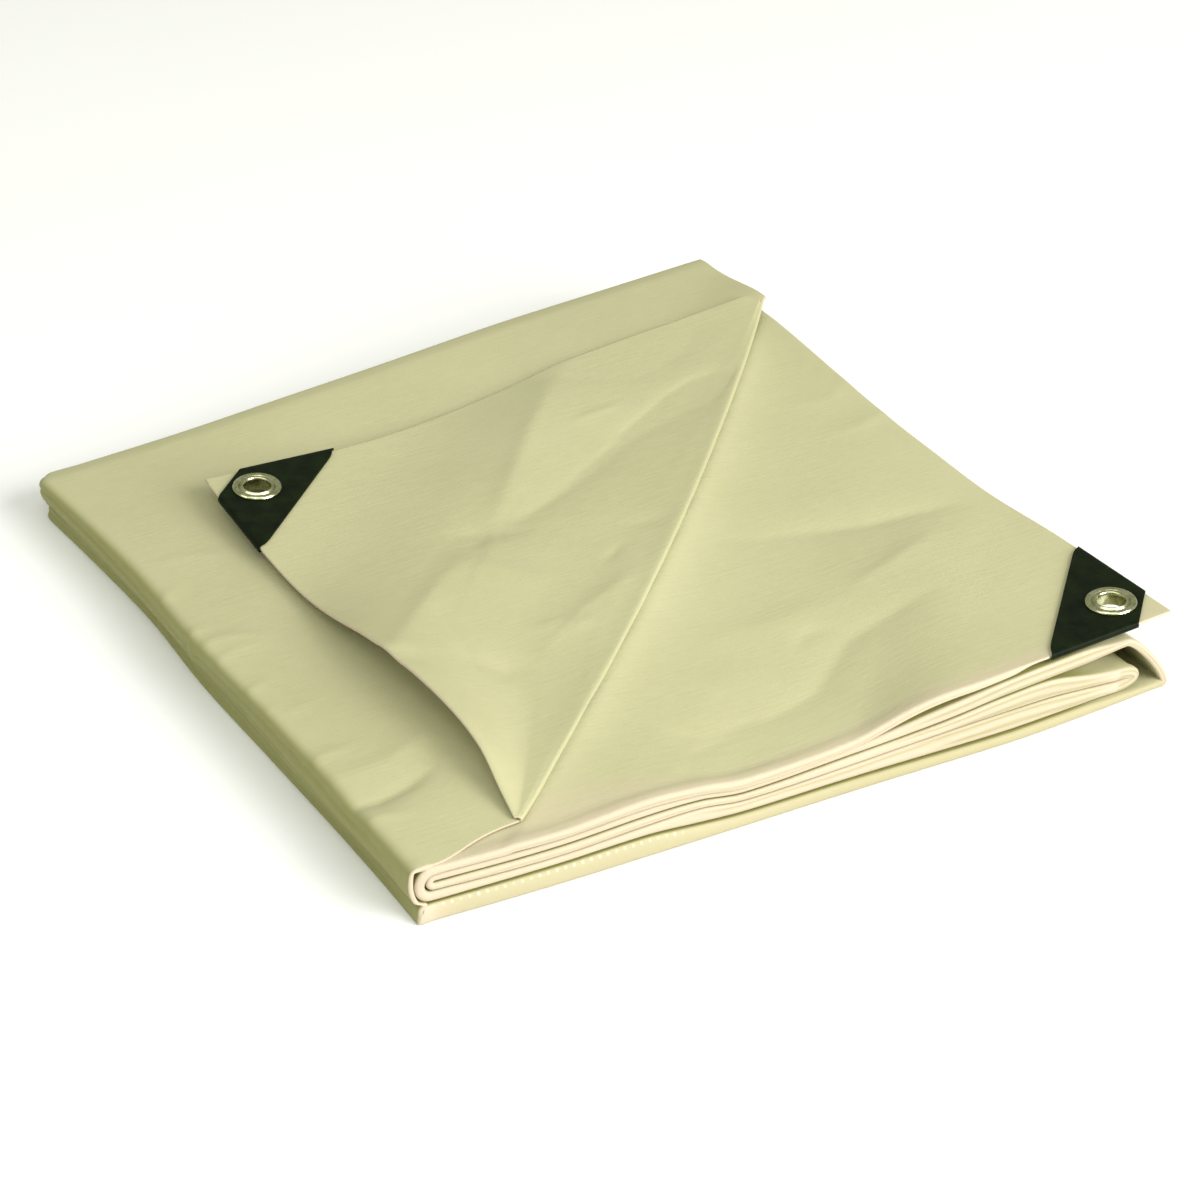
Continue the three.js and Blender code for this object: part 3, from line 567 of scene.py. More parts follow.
# Lengthwise grooves and one pinch of the plies there: share along the section, how far the groove
# wanders, and its depth in mm.
SPINE_LINES = [
    {"t": 0.37, "wander": 0.015, "wave": 90, "phase": 1.0, "deep": 1.6, "wide": 0.035, "front": 1},
    {"t": 0.5, "wander": 0.03, "wave": 80, "phase": 2.0, "deep": 1.0, "wide": 0.03, "front": 0},
    {"t": 0.68, "wander": 0.025, "wave": 47, "phase": 4.0, "deep": 0.9, "wide": 0.028, "front": 0},
    {"t": 0.22, "wander": 0.02, "wave": 60, "phase": 0.4, "deep": 0.8, "wide": 0.03, "front": 0},
]
SPINE_PINCH = {"y": 9, "long": 4, "t": 0.66, "wide": 0.1, "out": 2.0}
SPINE_WAVE = 1.0
# How much painted shade the spine side takes, standing in for the shadow on that side.
SPINE_PAINTED_SHADE = 0.95


def spine_groove(fold, t, y):
    """How deep one groove is, from 0 to 1."""
    centre = fold["t"] + fold["wander"] * np.sin(y / fold["wave"] + fold["phase"])
    away = mix(fold["front"], 1, ease((y - SPINE["y"][0] - 4) / 30))
    return np.exp(-(((t - centre) / fold["wide"]) ** 2)) * away


def spine_folds(t, y):
    """How far inward the spine side lies of its plain curve."""
    made = SPINE_WAVE * np.sin(y / 31 + 4 * t) * np.sin(np.pi * t) ** 2 * ease((y - SPINE["y"][0]) / 30)
    for fold in SPINE_LINES:
        made = made + fold["deep"] * spine_groove(fold, t, y)
    pinch = SPINE_PINCH
    along = np.exp(-(((y - pinch["y"]) / pinch["long"]) ** 2))
    return made - pinch["out"] * along * np.exp(-(((t - pinch["t"]) / pinch["wide"]) ** 2))


def spine_side(outer_x, v, here):
    """The outer fold: a firm edge under the top face, a full upper half and a tucked-in lower one."""
    y_from, y_to = run_y("b0", outer_x, v), run_y("t", outer_x, v)
    hem = hem_weight(v)
    top_thick = mix(TOP_THICK, TOP_HEM, hem)
    top = top_z(outer_x, y_to) + unevenness(outer_x, y_to, 1.9) + top_thick / 2
    t = np.linspace(0, 1, COLUMNS["fold_outer"] + 1)[1:-1]
    section = {key: smooth(SPINE_SECTION["at"], SPINE_SECTION[key], t) for key in SPINE_SECTION}
    inward = spine_folds(t, here)
    outer = np.stack([outer_x - section["out"] + inward, section["up"] * top], axis=-1)
    leaving = ease((t - 0.16) / 0.18)
    thick = mix(section["thick"], top_thick, ease((t - 0.8) / 0.2))
    side = ease(t / 0.12) * ease((1 - t) / 0.14)
    inner_x = outer_x - section["out"] + inward + np.maximum(section["out"] - section["out_in"], 0)
    inner_z = np.where(t < 0.5, np.maximum(outer[..., 1], thick), np.minimum(outer[..., 1], top - thick))
    inner_z = np.where(t < 0.5, mix(thick + 0 * inner_z, inner_z, side), mix(top - thick, inner_z, side))
    band = smooth(FRONT_X, FRONT["hem"], outer_x)
    inner_z = mix(inner_z, np.maximum(inner_z, band), hem * (1 - leaving))
    inner = np.stack([inner_x, inner_z], axis=-1)
    middle = (outer + inner) / 2
    across = outer - inner
    made = np.linalg.norm(across, axis=-1)
    y = mix(y_from, y_to, ease((t - 0.3) / 0.5))
    z = middle[..., 1] + crease_height("s1", middle[..., 0], y) * ease((t - 0.6) / 0.2)
    normal = np.stack([across[..., 0] / made, 0 * made, across[..., 1] / made], axis=-1)
    return middle[..., 0], y, z, made, normal


def top_points(outer_x, v, count):
    t = np.clip(v / FOLD_V, 0, 1)
    s = np.linspace(0, 1, count + 1)
    folded = v <= FOLD_V + 1e-9
    jut = END_RISE["out"] * (1 - ease((v - FOLD_V) / END_RISE["fade"]))
    line_x, line_y = (mix(a, b, t) for a, b in zip(FOLD_FRONT, FOLD_RIGHT))
    x = mix(outer_x, np.where(folded, line_x, FOLD_RIGHT[0] + 1 + jut), s)
    pull = diagonal_bow(t) * np.where(folded, ease((s - 0.35) / 0.65), 0)
    free_y = run_y("t", x, v)
    y = np.where(folded, mix(free_y, line_y, ease(s)), free_y)
    x = x + FOLD_SIDE[0] * pull
    y = y + FOLD_SIDE[1] * pull
    z = top_z(x, y) + crease_height("s1", x, y) + unevenness(x, y, 1.9)
    thick = mix(TOP_THICK, TOP_HEM, hem_weight(v) * ease((0.9 - s) / 0.3))
    return x, y, z, mix(thick, ROLL_THICK, pressed(x, y) * folded)


def flap_outline(t):
    corner_t = CORNER_V / FOLD_V
    at = np.clip(t / corner_t, 0, 1)
    left = (
        smooth(FLAP_LEFT["at"], FLAP_LEFT["x"], at),
        mix(FOLD_FRONT[1] + 1, FLAP_CORNER[1], at),
        smooth(FLAP_LEFT["at"], FLAP_LEFT["z"], at),
    )
    at = np.clip((t - corner_t) / (1 - corner_t), 0, 1)
    back = (
        mix(FLAP_CORNER[0], FOLD_RIGHT[0] - 4, at),
        smooth(FLAP_BACK["at"], FLAP_BACK["y"], at),
        smooth(FLAP_BACK["at"], FLAP_BACK["z"], at),
    )
    return [np.where(t <= corner_t, a, b) for a, b in zip(left, back)]


def roll_points(start, count):
    """Half roll along the diagonal, from the top run's end, without that end."""
    angle = np.pi * np.arange(1, count + 1) / count
    swing = ROLL_R * np.sin(angle)
    x = start[0] + FOLD_SIDE[0] * swing
    y = start[1] + FOLD_SIDE[1] * swing
    return x, y, start[2] + ROLL_R * (1 - np.cos(angle)), ROLL_THICK + 0 * x


def flap_points(start, v, count):
    """The flap lying back over the top run, from the roll's end, without that end."""
    end_x, end_y, end_z = flap_outline(np.clip(v / FOLD_V, 0, 1))
    s = np.arange(1, count + 1) / count
    s = mix(s, ease(s), 0.25)
    x, y = mix(start[0], end_x, s), mix(start[1], end_y, s)
    resting = top_z(x, y) + mix(TOP_THICK + FLAP_CLEAR, 2 * ROLL_R, pressed(x, y))
    start_lift = start[2] - (top_z(start[0], start[1]) + 2 * ROLL_R)
    end_lift = end_z - (top_z(end_x, end_y) + TOP_THICK + FLAP_CLEAR)
    lift = start_lift * (1 - ease(s / 0.55)) + end_lift * ease((s - 0.25) / 0.75)
    relief = crease_height("flap", x, y) + unevenness(x, y, 3.1)
    free = np.maximum(resting + lift, resting - 0.5) + relief * ease(s / 0.08)
    plane, reach = corner_plane(LEFT_FRAME, x, y)
    flat = corner_weight(LEFT_FLAT, reach)
    bent = mix(free, plane, flat)
    z = np.where(flat < 1, np.maximum(bent, resting - 0.3), plane)
    return x, y, z, mix(mix(TOP_THICK, ROLL_THICK, pressed(x, y)), CORNER_THICK, flat)


def strip_grid():
    """All points of the strip as arrays with a row for each value of V and the blocks side by side."""
    v = V[:, None]
    here = mix(ROW_FRONT, ROW_BACK, v)
    past = 0.95 * np.clip(here - ROW_BACK + CORNER_ROUND, 0, CORNER_ROUND)
    spine = smooth(SPINE["y"], SPINE["x"], here) + CORNER_ROUND - np.sqrt(CORNER_ROUND**2 - past**2)
    outer_x = spine + SPINE_FOLD["outer"]
    clear = MIDDLE_CLEAR * ease((here - SPINE["y"][0] - 4) / 30)
    middle_x = spine + MIDDLE_STEP + clear + SPINE_FOLD["middle"]
    inner_x = spine + INNER_STEP + SPINE_FOLD["inner"]
    right = smooth(RIGHT_EDGE["y"], RIGHT_EDGE["x"], here)
    column = np.ones_like(spine)
    loop, open_a, open_b0 = OPEN_LOOP * column, OPEN_A * column, OPEN_B0 * column
    middle_out, inner_out = -SPINE_FOLD["middle"], -SPINE_FOLD["inner"]
    made = {
        "s2": run_points("s2", right, middle_x, v, COLUMNS["s2"]),
        "fold_middle": fold_points("fold_middle", "s2", "b2", middle_x, middle_x, middle_out, v, MIDDLE_HEM),
        "b2": run_points("b2", middle_x, loop, v, COLUMNS["b2"]),
        "loop": fold_points("loop", "b2", "b3", loop, loop, LOOP_OUT, v, LOOP_HEM),
        "b3": run_points("b3", loop, inner_x, v, COLUMNS["b3"]),
        "fold_inner": fold_points("fold_inner", "b3", "a", inner_x, inner_x, inner_out, v, INNER_HEM),
        "a": run_points("a", inner_x, open_a, v, COLUMNS["a"]),
        "open_fold": fold_points("open_fold", "a", "b0", open_a, open_b0, OPEN_OUT, v, OPEN_HEM),
        "b0": run_points("b0", open_b0, outer_x, v, COLUMNS["b0"]),
        "fold_outer": spine_side(outer_x, v, here),
        "top": top_points(outer_x, v, COLUMNS["top"]),
    }
    made["roll"] = roll_points([part[:, -1:] for part in made["top"]], COLUMNS["roll"])
    made["flap"] = flap_points([part[:, -1:] for part in made["roll"]], v, COLUMNS["flap"])
    points = np.concatenate([np.stack(part[:3], axis=-1) for part in made.values()], axis=1)
    thick = np.concatenate([part[3] for part in made.values()], axis=1)
    names = [name for name, part in made.items() for _ in range(part[0].shape[1])]
    return points, thick, names, made["fold_outer"][4]


# Fine lines between plies in the front edge of a run: over which stretch of the front they show, where
# they lie at either end of it, from the band's top (0) to its foot (1), and how deep they are, mm.
PLY_LINES = {
    "loop": [(100, 170, 0.34, 0.34, 0.55), (100, 170, 0.63, 0.63, 0.55), (100, 170, 0.86, 0.86, 0.4)],
    "open_fold": [(100, 190, 0.5, 0.5, 0.4)],
    "b2": [(-60, 70, 0.32, 0.36, 0.45), (45, 150, 0.22, 0.3, 0.6), (55, 150, 0.55, 0.62, 0.6)],
    "b3": [(30, 150, 0.3, 0.36, 0.55), (60, 150, 0.7, 0.62, 0.6), (-170, 0, 0.55, 0.5, 0.25)],
    "a": [(40, 165, 0.45, 0.3, 0.6), (75, 165, 0.8, 0.62, 0.5)],
    "s2": [(-160, 95, 0.55, 0.5, 0.3)],
}
PLY_WIDTH = 0.07
# How far back the painted light on the second run's front edge reaches at either end, as a share of the
# depth.
PAINTED_LIGHT_REACH = {"left": 0.09, "right": 0.03}
PLUS_IS_UP = {"b2", "a", "top"}
SHOWN_PLUS = {"top", "roll", "flap", "fold_outer", "b0", "open_fold"}
SHOWN_MINUS = {"s2", "roll", "flap", "open_fold"}


def ply_depth(run, x, s):
    """Depth of the grooves in a front edge at share s, from the plus side to the minus side."""
    from_top = s if run in PLUS_IS_UP else 1 - s
    depth = 0.0
    for start, end, share_start, share_end, deep in PLY_LINES.get(run, []):
        if start < x < end:
            along = (x - start) / (end - start)
            centre = mix(share_start, share_end, along) + 0.03 * math.sin(x / 9)
            ends = 1 if run == "loop" else min(1, 6 * along, 6 * (1 - along))
            depth += deep * ends * math.exp(-(((from_top - centre) / PLY_WIDTH) ** 2))
    return depth


def gap_shade(row, name, plus_side, x):
    """Painted shade of a point near the front: 1 inside the narrow space between two plies."""
    if name in (SHOWN_PLUS if plus_side else SHOWN_MINUS):
        return 0.0
    return (1.0 if row < 4 else 0.6) * float(ease((150 - x) / 30))


def unit(vectors):
    return vectors / np.maximum(np.linalg.norm(vectors, axis=-1, keepdims=True), 1e-9)


def grid_normals(points, top_end):
    """Unit normals of the grid. Behind the fold row it ends with the top run."""
    across = np.cross(points[1:, 1:] - points[:-1, :-1], points[1:, :-1] - points[:-1, 1:])
    across[FOLD_ROW:, top_end:] = 0
    made = np.zeros_like(points)
    near, far = slice(None, -1), slice(1, None)
    for rows, columns in ((near, near), (near, far), (far, far), (far, near)):
        made[rows, columns] += across
    return unit(made)


def cloth_outline(rows, columns, top_end):
    """Places in the grid round the cloth's whole edge, from the front edge on."""
    loop = [(0, i) for i in range(columns - 1)] + [(j, columns - 1) for j in range(FOLD_ROW)]
    loop += [(FOLD_ROW, i) for i in range(columns - 1, top_end, -1)]
    loop += [(j, top_end) for j in range(FOLD_ROW, rows - 1)]
    loop += [(rows - 1, i) for i in range(top_end, 0, -1)]
    return loop + [(j, 0) for j in range(rows - 1, 0, -1)]


def outward(points, normal, loop):
    """Unit vectors out of the cloth's edge, along its surface."""
    at = np.array([points[place] for place in loop])
    up = np.array([normal[place] for place in loop])
    along = unit(np.roll(at, -1, axis=0) - at)
    out = unit(np.cross(along, up + np.roll(up, -1, axis=0)))
    return unit(out + np.roll(out, 1, axis=0))


def column_blocks(columns):
    """First and last column of each part of the strip; the last one belongs to the next part too."""
    made = []
    start = 0
    for name, count in COLUMNS.items():
        stop = min(start + count, columns - 1)
        made.append((name, start, stop))
        start = stop
    return made


def skin_faces(vertex, side, rows, columns, top_end):
    """Faces of one side of the cloth. Where a coarse part meets a finer one, its faces take in the
    finer one's points."""
    made = []
    blocks = column_blocks(columns)
    used = [row_subset(ROWS_SHOWN.get(name, (COARSE, COARSE))[side]) for name, _, _ in blocks]
    every = row_subset(FINE)
    for k, (_, first, last) in enumerate(blocks):
        mine = used[k]
        before = every if first in (0, top_end) else used[k - 1]
        after = every if last in (top_end, columns - 1) else used[k + 1]
        left_rows, right_rows = (sorted({*mine, *others}) for others in (before, after))
        limit = FOLD_ROW if first >= top_end else rows - 1
        for i in range(first, last):
            on_left = left_rows if i == first else mine
            on_right = right_rows if i == last - 1 else mine
            for low, high in zip(mine, mine[1:]):
                if high > limit:
                    break
                right = [vertex(side, j, i + 1) for j in on_right if low <= j <= high]
                left = [vertex(side, j, i) for j in on_left if low <= j <= high]
                face = [left[0], *right, *left[:0:-1]]
                made.append(face if side == 0 else face[::-1])
    return made


def rim_section(name, front, thick, x):
    """Rounded section of the cloth's edge: share from the plus side to the minus side, and bulge."""
    count = FRONT_POINTS if front else EDGE_POINTS
    deep = min(2.0, 0.48 * thick) if front else min(1.1, 0.45 * thick)
    made = []
    for n in range(1, count + 1):
        angle = math.pi * n / (count + 1)
        s = (1 - math.cos(angle)) / 2
        groove = ply_depth(name, x, s) if front else 0
        made.append((s, deep * math.sin(angle) ** 0.8 - groove))
    return made


def rim_faces(rims):
    made = []
    for this, following in zip(rims, rims[1:] + rims[:1]):
        if len(this) == len(following):
            for n in range(len(this) - 1):
                made.append([following[n], this[n], this[n + 1], following[n + 1]])
        else:
            made.append([*reversed(following), *this])
    return made


def mark_skins(index, points, names, edge, shade):
    """Painted light on the second run's front rows, and painted shade in the gaps between runs and on the
    spine side.
    """
    for i, name in enumerate(names):
        # Painted light: the second run's front rows take the paler colour of lit faces.
        if name == "s2":
            to_left = float(ease((-40 - points[0, i][0]) / 70))
            reach = mix(PAINTED_LIGHT_REACH["right"], PAINTED_LIGHT_REACH["left"], to_left)
            for j in np.flatnonzero(V < reach):
                edge[index[1][j, i]] = 0.7 * (1 - V[j] / reach)
        # Painted shade on the sides that lie between plies near the front.
        for side in (0, 1):
            for j in range(FRONT_COUNT):
                if index[side][j, i] >= 0:
                    shade[index[side][j, i]] = gap_shade(j, name, side == 0, points[j, i][0])
    # Painted shade on the spine side: a dark colour below its top edge, darker still in its grooves.
    spine_start = names.index("fold_outer")
    for n in range(1, COLUMNS["fold_outer"]):
        t = n / COLUMNS["fold_outer"]
        side_shade = SPINE_PAINTED_SHADE * float(ease((0.94 - t) / 0.14))
        for j, v in enumerate(V):
            here = mix(ROW_FRONT, ROW_BACK, v)
            deep = max(spine_groove(fold, t, here) for fold in SPINE_LINES)
            for k in (index[0][j, spine_start + n - 1], index[1][j, spine_start + n - 1]):
                if k >= 0:
                    shade[k] = max(side_shade, 0.8 * deep)


def mark_front(rims, loop, points, names, edge, shade, seam):
    """Painted shade between plies in the front edges, the bottom run's painted light and shade, and the
    place of its seam.
    """
    for (j, i), rim in zip(loop, rims):
        if j:
            continue
        x, inner = points[j, i][0], rim[1:-1]
        for n, k in enumerate(inner):
            s = (n + 1) / (len(inner) + 1)
            # Painted shade between plies: darker towards the rim's ends and in the ply grooves.
            ends = max(0.0, 1 - s / 0.12) * shade[rim[0]] + max(0.0, 1 - (1 - s) / 0.12) * shade[rim[-1]]
            shade[k] = min(1.0, 0.8 * ends + 1.1 * ply_depth(names[i], x, s))
            if names[i] == "b0":
                # The bottom run's front edge takes less painted light, except at its left end.
                edge[k] = 1 - 0.4 * float(ease((x + 176) / 30))
                seam[k] = 1 - s
                # Painted shade on the bottom run's front edge, more towards the right.
                in_shade = 0.27 * ease((x + 180) / 30) + 0.14 * ease((x + 60) / 90)
                shade[k] = max(shade[k], float(in_shade))


def cloth_mesh():
    """Vertices and faces of the closed cloth: a plus side, a minus side and a rounded rim. Each vertex
    also has its share of painted light and of painted shade, and its place across the bottom hem."""
    points, thick, names, spine_normal = strip_grid()
    rows, columns = thick.shape
    top_end = names.index("roll") - 1
    normal = grid_normals(points, top_end)
    spine_start = names.index("fold_outer")
    normal[:, spine_start:spine_start + spine_normal.shape[1]] = spine_normal
    plus = points + normal * thick[..., None] / 2
    minus = points - normal * thick[..., None] / 2

    vertices, faces = [], []
    index = [np.full((rows, columns), -1), np.full((rows, columns), -1)]

    def vertex(side, j, i):
        if index[side][j, i] < 0:
            index[side][j, i] = len(vertices)
            vertices.append((plus, minus)[side][j, i])
        return int(index[side][j, i])

    for side in (0, 1):
        faces += skin_faces(vertex, side, rows, columns, top_end)
    loop = cloth_outline(rows, columns, top_end)
    rims = []
    for place, out in zip(loop, outward(points, normal, loop)):
        section = rim_section(names[place[1]], place[0] == 0, thick[place], points[place][0])
        rim = [len(vertices) + n for n in range(len(section))]
        vertices += [mix(plus[place], minus[place], s) + out * bulge for s, bulge in section]
        rims.append([vertex(0, *place), *rim, vertex(1, *place)])
    faces += rim_faces(rims)

    edge, shade = np.zeros(len(vertices)), np.zeros(len(vertices))
    seam = np.full(len(vertices), -1.0)
    # Painted light: the rim vertices take the paler, peachier colour of lit faces.
    edge[rims[0][1]:] = 1
    mark_skins(index, points, names, edge, shade)
    mark_front(rims, loop, points, names, edge, shade, seam)
    return np.array(vertices), faces, {"ply_edge": edge, "gap_shade": shade, "seam_place": seam}


# Placing: the drawing frame against the row frame, mm. The eyelets' CAD nodes say where it is.
def row_shift():
    low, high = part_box("eyelet_right")
    middle = (low + high) / 2 / MM
    drawn = in_frame(RIGHT_FRAME, *np.array([EYE_IN, EYE_IN, PATCH_GAP], float))
    return np.array([middle.x - drawn[0], middle.y - drawn[1], 0])


SHIFT = row_shift()


def make_object(name, vertices, faces, material):
    mesh = bpy.data.meshes.new(name)
    mesh.from_pydata(((np.asarray(vertices) + SHIFT) * MM).tolist(), [], faces)
    mesh.validate()
    mesh.shade_smooth()
    made = bpy.data.objects.new(name, mesh)
    bpy.context.scene.collection.objects.link(made)
    made.data.materials.append(material)
    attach(made, "root")
    return made


def ring_faces(rings, sides, closed=True):
    """Faces between rings of points; closed joins the last ring to the first."""
    made = []
    for k in range(rings if closed else rings - 1):
        here, ahead = k * sides, (k + 1) % rings * sides
        for i in range(sides):
            j = (i + 1) % sides
            made.append([here + i, ahead + i, ahead + j, here + j])
    return made


def cut_hole(target, own, radius, depth):
    """Cuts a round hole through target at a patch's eyelet."""
    sides = 48
    angles = 2 * math.pi * np.arange(sides) / sides
    across, along = EYE_IN + radius * np.cos(angles), EYE_IN + radius * np.sin(angles)
    vertices = np.concatenate([in_frame(own, across, along, n) for n in (depth, -PATCH_TOTAL - depth)])
    faces = [list(range(sides)), list(range(2 * sides - 1, sides - 1, -1))]
    faces += ring_faces(2, sides, closed=False)
    mesh = bpy.data.meshes.new("cutter")
    mesh.from_pydata(((vertices + SHIFT) * MM).tolist(), [], faces)
    cutter = bpy.data.objects.new("cutter", mesh)
    bpy.context.scene.collection.objects.link(cutter)
    cut = target.modifiers.new("eyelet_hole", "BOOLEAN")
    cut.operation, cut.object, cut.solver = "DIFFERENCE", cutter, "EXACT"
    with bpy.context.temp_override(object=target, active_object=target, selected_objects=[target]):
        bpy.ops.object.modifier_apply(modifier=cut.name)
    bpy.data.objects.remove(cutter)


def new_material(name):
    """A new material with its node tree, its shader and the object's coordinates."""
    material = bpy.data.materials.new(name)
    material.use_nodes = True
    tree = material.node_tree
    place = tree.nodes.new("ShaderNodeTexCoord").outputs["Object"]
    return material, tree, tree.nodes["Principled BSDF"], place


def add(tree, kind, **values):
    """A node with its inputs set by name, or linked where the value is another node's output."""
    node = tree.nodes.new(kind)
    for key, value in values.items():
        if hasattr(node, key) and key not in node.inputs:
            setattr(node, key, value)
            continue
        numbered = key.startswith("in") and key[2:].isdigit()
        socket = node.inputs[int(key[2:])] if numbered else node.inputs[key]
        if isinstance(value, bpy.types.NodeSocket):
            tree.links.new(value, socket)
        else:
            socket.default_value = value
    return node


def noise(tree, vector, scale, detail=3, rough=0.5):
    made = add(tree, "ShaderNodeTexNoise", Vector=vector, Scale=scale, Detail=detail, Roughness=rough)
    return made.outputs["Fac"]


def math_node(tree, kind, *values):
    inputs = {f"in{n}": value for n, value in enumerate(values)}
    return add(tree, "ShaderNodeMath", operation=kind, **inputs).outputs[0]


def attribute(tree, name):
    return add(tree, "ShaderNodeAttribute", attribute_name=name).outputs["Fac"]


def bumps(tree, shader, *layers):
    """Bumps on top of each other, the undermost first: height, strength and depth in mm."""
    under = None
    for height, strength, depth in layers:
        bump = add(tree, "ShaderNodeBump", Strength=strength, Distance=depth * MM, Height=height)
        if under:
            tree.links.new(under, bump.inputs["Normal"])
        under = bump.outputs["Normal"]
    tree.links.new(under, shader.inputs["Normal"])


def stretched(tree, vector, scale, turn):
    """The coordinates with their own scale along each axis, turned about the upright one by some degrees."""
    rotation = (0, 0, math.radians(turn))
    return add(tree, "ShaderNodeMapping", Vector=vector, Scale=scale, Rotation=rotation).outputs["Vector"]


def ramp(tree, value, low, high, to_low=0.0, to_high=1.0):
    made = tree.nodes.new("ShaderNodeMapRange")
    tree.links.new(value, made.inputs["Value"])
    for name, number in (("From Min", low), ("From Max", high), ("To Min", to_low), ("To Max", to_high)):
        made.inputs[name].default_value = number
    return made.outputs["Result"]


def blend_colours(tree, share, first, second):
    made = tree.nodes.new("ShaderNodeMix")
    made.data_type = "RGBA"
    tree.links.new(share, made.inputs["Factor"])
    for socket, value in ((made.inputs[6], first), (made.inputs[7], second)):
        if isinstance(value, bpy.types.NodeSocket):
            tree.links.new(value, socket)
        else:
            socket.default_value = (*value, 1)
    return made.outputs[2]


# Colours: two tones of the cloth, its fine specks, the painted light on its rims and front rows, the painted
# shade between plies and on the spine side, its stitches, and two tones each of the patches, the eyelets and
# the floor.
COLOURS = {
    "cloth": ((0.455, 0.45, 0.262), (0.485, 0.478, 0.288)),
    "speck": (0.515, 0.485, 0.305),
    "edge": (0.535, 0.462, 0.338),
    "gap": (0.25, 0.25, 0.085),
    "stitch": (0.75, 0.71, 0.54),
    "patch": ((0.004, 0.007, 0.003), (0.010, 0.017, 0.006)),
    "metal": ((0.44, 0.45, 0.26), (0.68, 0.68, 0.47)),
    "floor": ((0.92, 0.93, 0.96), (0.95, 0.96, 0.98)),
}
WEAVE_PITCH = 1.6


def wave(tree, along, pitch):
    """Sine wave along one coordinate, with its pitch in mm."""
    turn = math_node(tree, "MULTIPLY", along, 2 * math.pi / (pitch * MM))
    return math_node(tree, "SINE", turn)


def stitches(tree, split):
    """1 on the stitches of the hem in the bottom band's front edge, just below its top."""
    off = math_node(tree, "SUBTRACT", attribute(tree, "seam_place"), SEAM["share"])
    in_row = ramp(tree, math_node(tree, "ABSOLUTE", off), SEAM["half"], 0.6 * SEAM["half"])
    bead = ramp(tree, wave(tree, split.outputs["X"], SEAM["pitch"]), 0.45, 0.75)
    before = ramp(tree, split.outputs["X"], SEAM["to"] * MM, (SEAM["to"] - 8) * MM)
    return math_node(tree, "MULTIPLY", math_node(tree, "MULTIPLY", in_row, bead), before)


def cloth_material():
    """Coated woven poly cloth: a flat tape weave under a thin film, slightly blotchy and creased. Painted
    light on its rims, painted shade between plies.
    """
    material, tree, shader, place = new_material("tarp_cloth")
    split = add(tree, "ShaderNodeSeparateXYZ", Vector=place)
    fine = noise(tree, place, 160, 3, 0.6)
    base = blend_colours(tree, ramp(tree, noise(tree, place, 9, 4, 0.55), 0.35, 0.65), *COLOURS["cloth"])
    base = blend_colours(tree, ramp(tree, fine, 0.3, 0.7, 0, 0.25), base, COLOURS["speck"])
    # Painted light: a paler, peachier colour on the rims and the second run's front rows. Painted shade: a
    # dark olive colour between plies, on the spine side and along the bottom run's front.
    base = blend_colours(tree, attribute(tree, "ply_edge"), base, COLOURS["edge"])
    base = blend_colours(tree, attribute(tree, "gap_shade"), base, COLOURS["gap"])
    stitch = math_node(tree, "MULTIPLY", stitches(tree, split), ramp(tree, fine, 0.4, 0.6, 0.15, 0.85))
    base = blend_colours(tree, stitch, base, COLOURS["stitch"])
    tree.links.new(base, shader.inputs["Base Color"])
    tree.links.new(ramp(tree, fine, 0.3, 0.7, 0.5, 0.64), shader.inputs["Roughness"])
    shader.inputs["Specular IOR Level"].default_value = 0.3
    tapes = [wave(tree, split.outputs[axis], WEAVE_PITCH) for axis in "XY"]
    woven = math_node(tree, "MULTIPLY", *tapes)
    weave = math_node(tree, "MULTIPLY_ADD", woven, 0.25, noise(tree, place, 420, 2, 0.5))
    streak = noise(tree, stretched(tree, place, (55, 520, 300), 3), 1, 3, 0.65)
    wrinkle = noise(tree, place, 38, 5, 0.6)
    facets = add(tree, "ShaderNodeTexNoise", noise_type="RIDGED_MULTIFRACTAL", Vector=place, Scale=11,
                 Detail=2, Roughness=0.4, Distortion=0.6).outputs["Fac"]
    bumps(tree, shader, (weave, 0.12, 0.4), (streak, 0.35, 0.4), (wrinkle, 0.25, 1.2), (facets, 0.3, 2.5))
    return material


def patch_material():
    """Dark green moulded polythene, embossed and scuffed."""
    material, tree, shader, place = new_material("corner_patch")
    scuff = noise(tree, place, 120, 4, 0.6)
    base = blend_colours(tree, ramp(tree, scuff, 0.35, 0.75), *COLOURS["patch"])
    tree.links.new(base, shader.inputs["Base Color"])
    tree.links.new(ramp(tree, scuff, 0.3, 0.7, 0.3, 0.5), shader.inputs["Roughness"])
    shader.inputs["Specular IOR Level"].default_value = 0.05
    ripples = noise(tree, stretched(tree, place, (1, 0.45, 1), 40), 190, 3, 0.6)
    relief = math_node(tree, "MULTIPLY_ADD", ripples, 0.6, noise(tree, place, 55, 3, 0.55))
    bumps(tree, shader, (relief, 0.5, 0.9))
    return material


def eyelet_material():
    """Plated metal, pale and a little brassy, with fine polishing marks and dull spots."""
    material, tree, shader, place = new_material("eyelet_metal")
    spots = noise(tree, place, 300, 4, 0.6)
    marks = noise(tree, stretched(tree, place, (1, 6, 1), 0), 700, 2, 0.5)
    base = blend_colours(tree, ramp(tree, spots, 0.4, 0.65), *COLOURS["metal"])
    tree.links.new(base, shader.inputs["Base Color"])
    shader.inputs["Metallic"].default_value = 1.0
    tree.links.new(ramp(tree, marks, 0.3, 0.7, 0.17, 0.3), shader.inputs["Roughness"])
    bumps(tree, shader, (marks, 0.15, 0.2))
    return material


CLOTH = cloth_material()
PATCH = patch_material()
METAL = eyelet_material()


# Patches: a sheet folded round both edges of the cloth. Rings of points go round the top plate, the
# fold over one edge, the bottom plate and the fold over the other; the hollow inside is the pocket.
PATCH_RINGS, PATCH_SIDE, PATCH_BEND = 18, 26, 5
PATCH_TIP = {"share": 0.12, "back": 3.4}


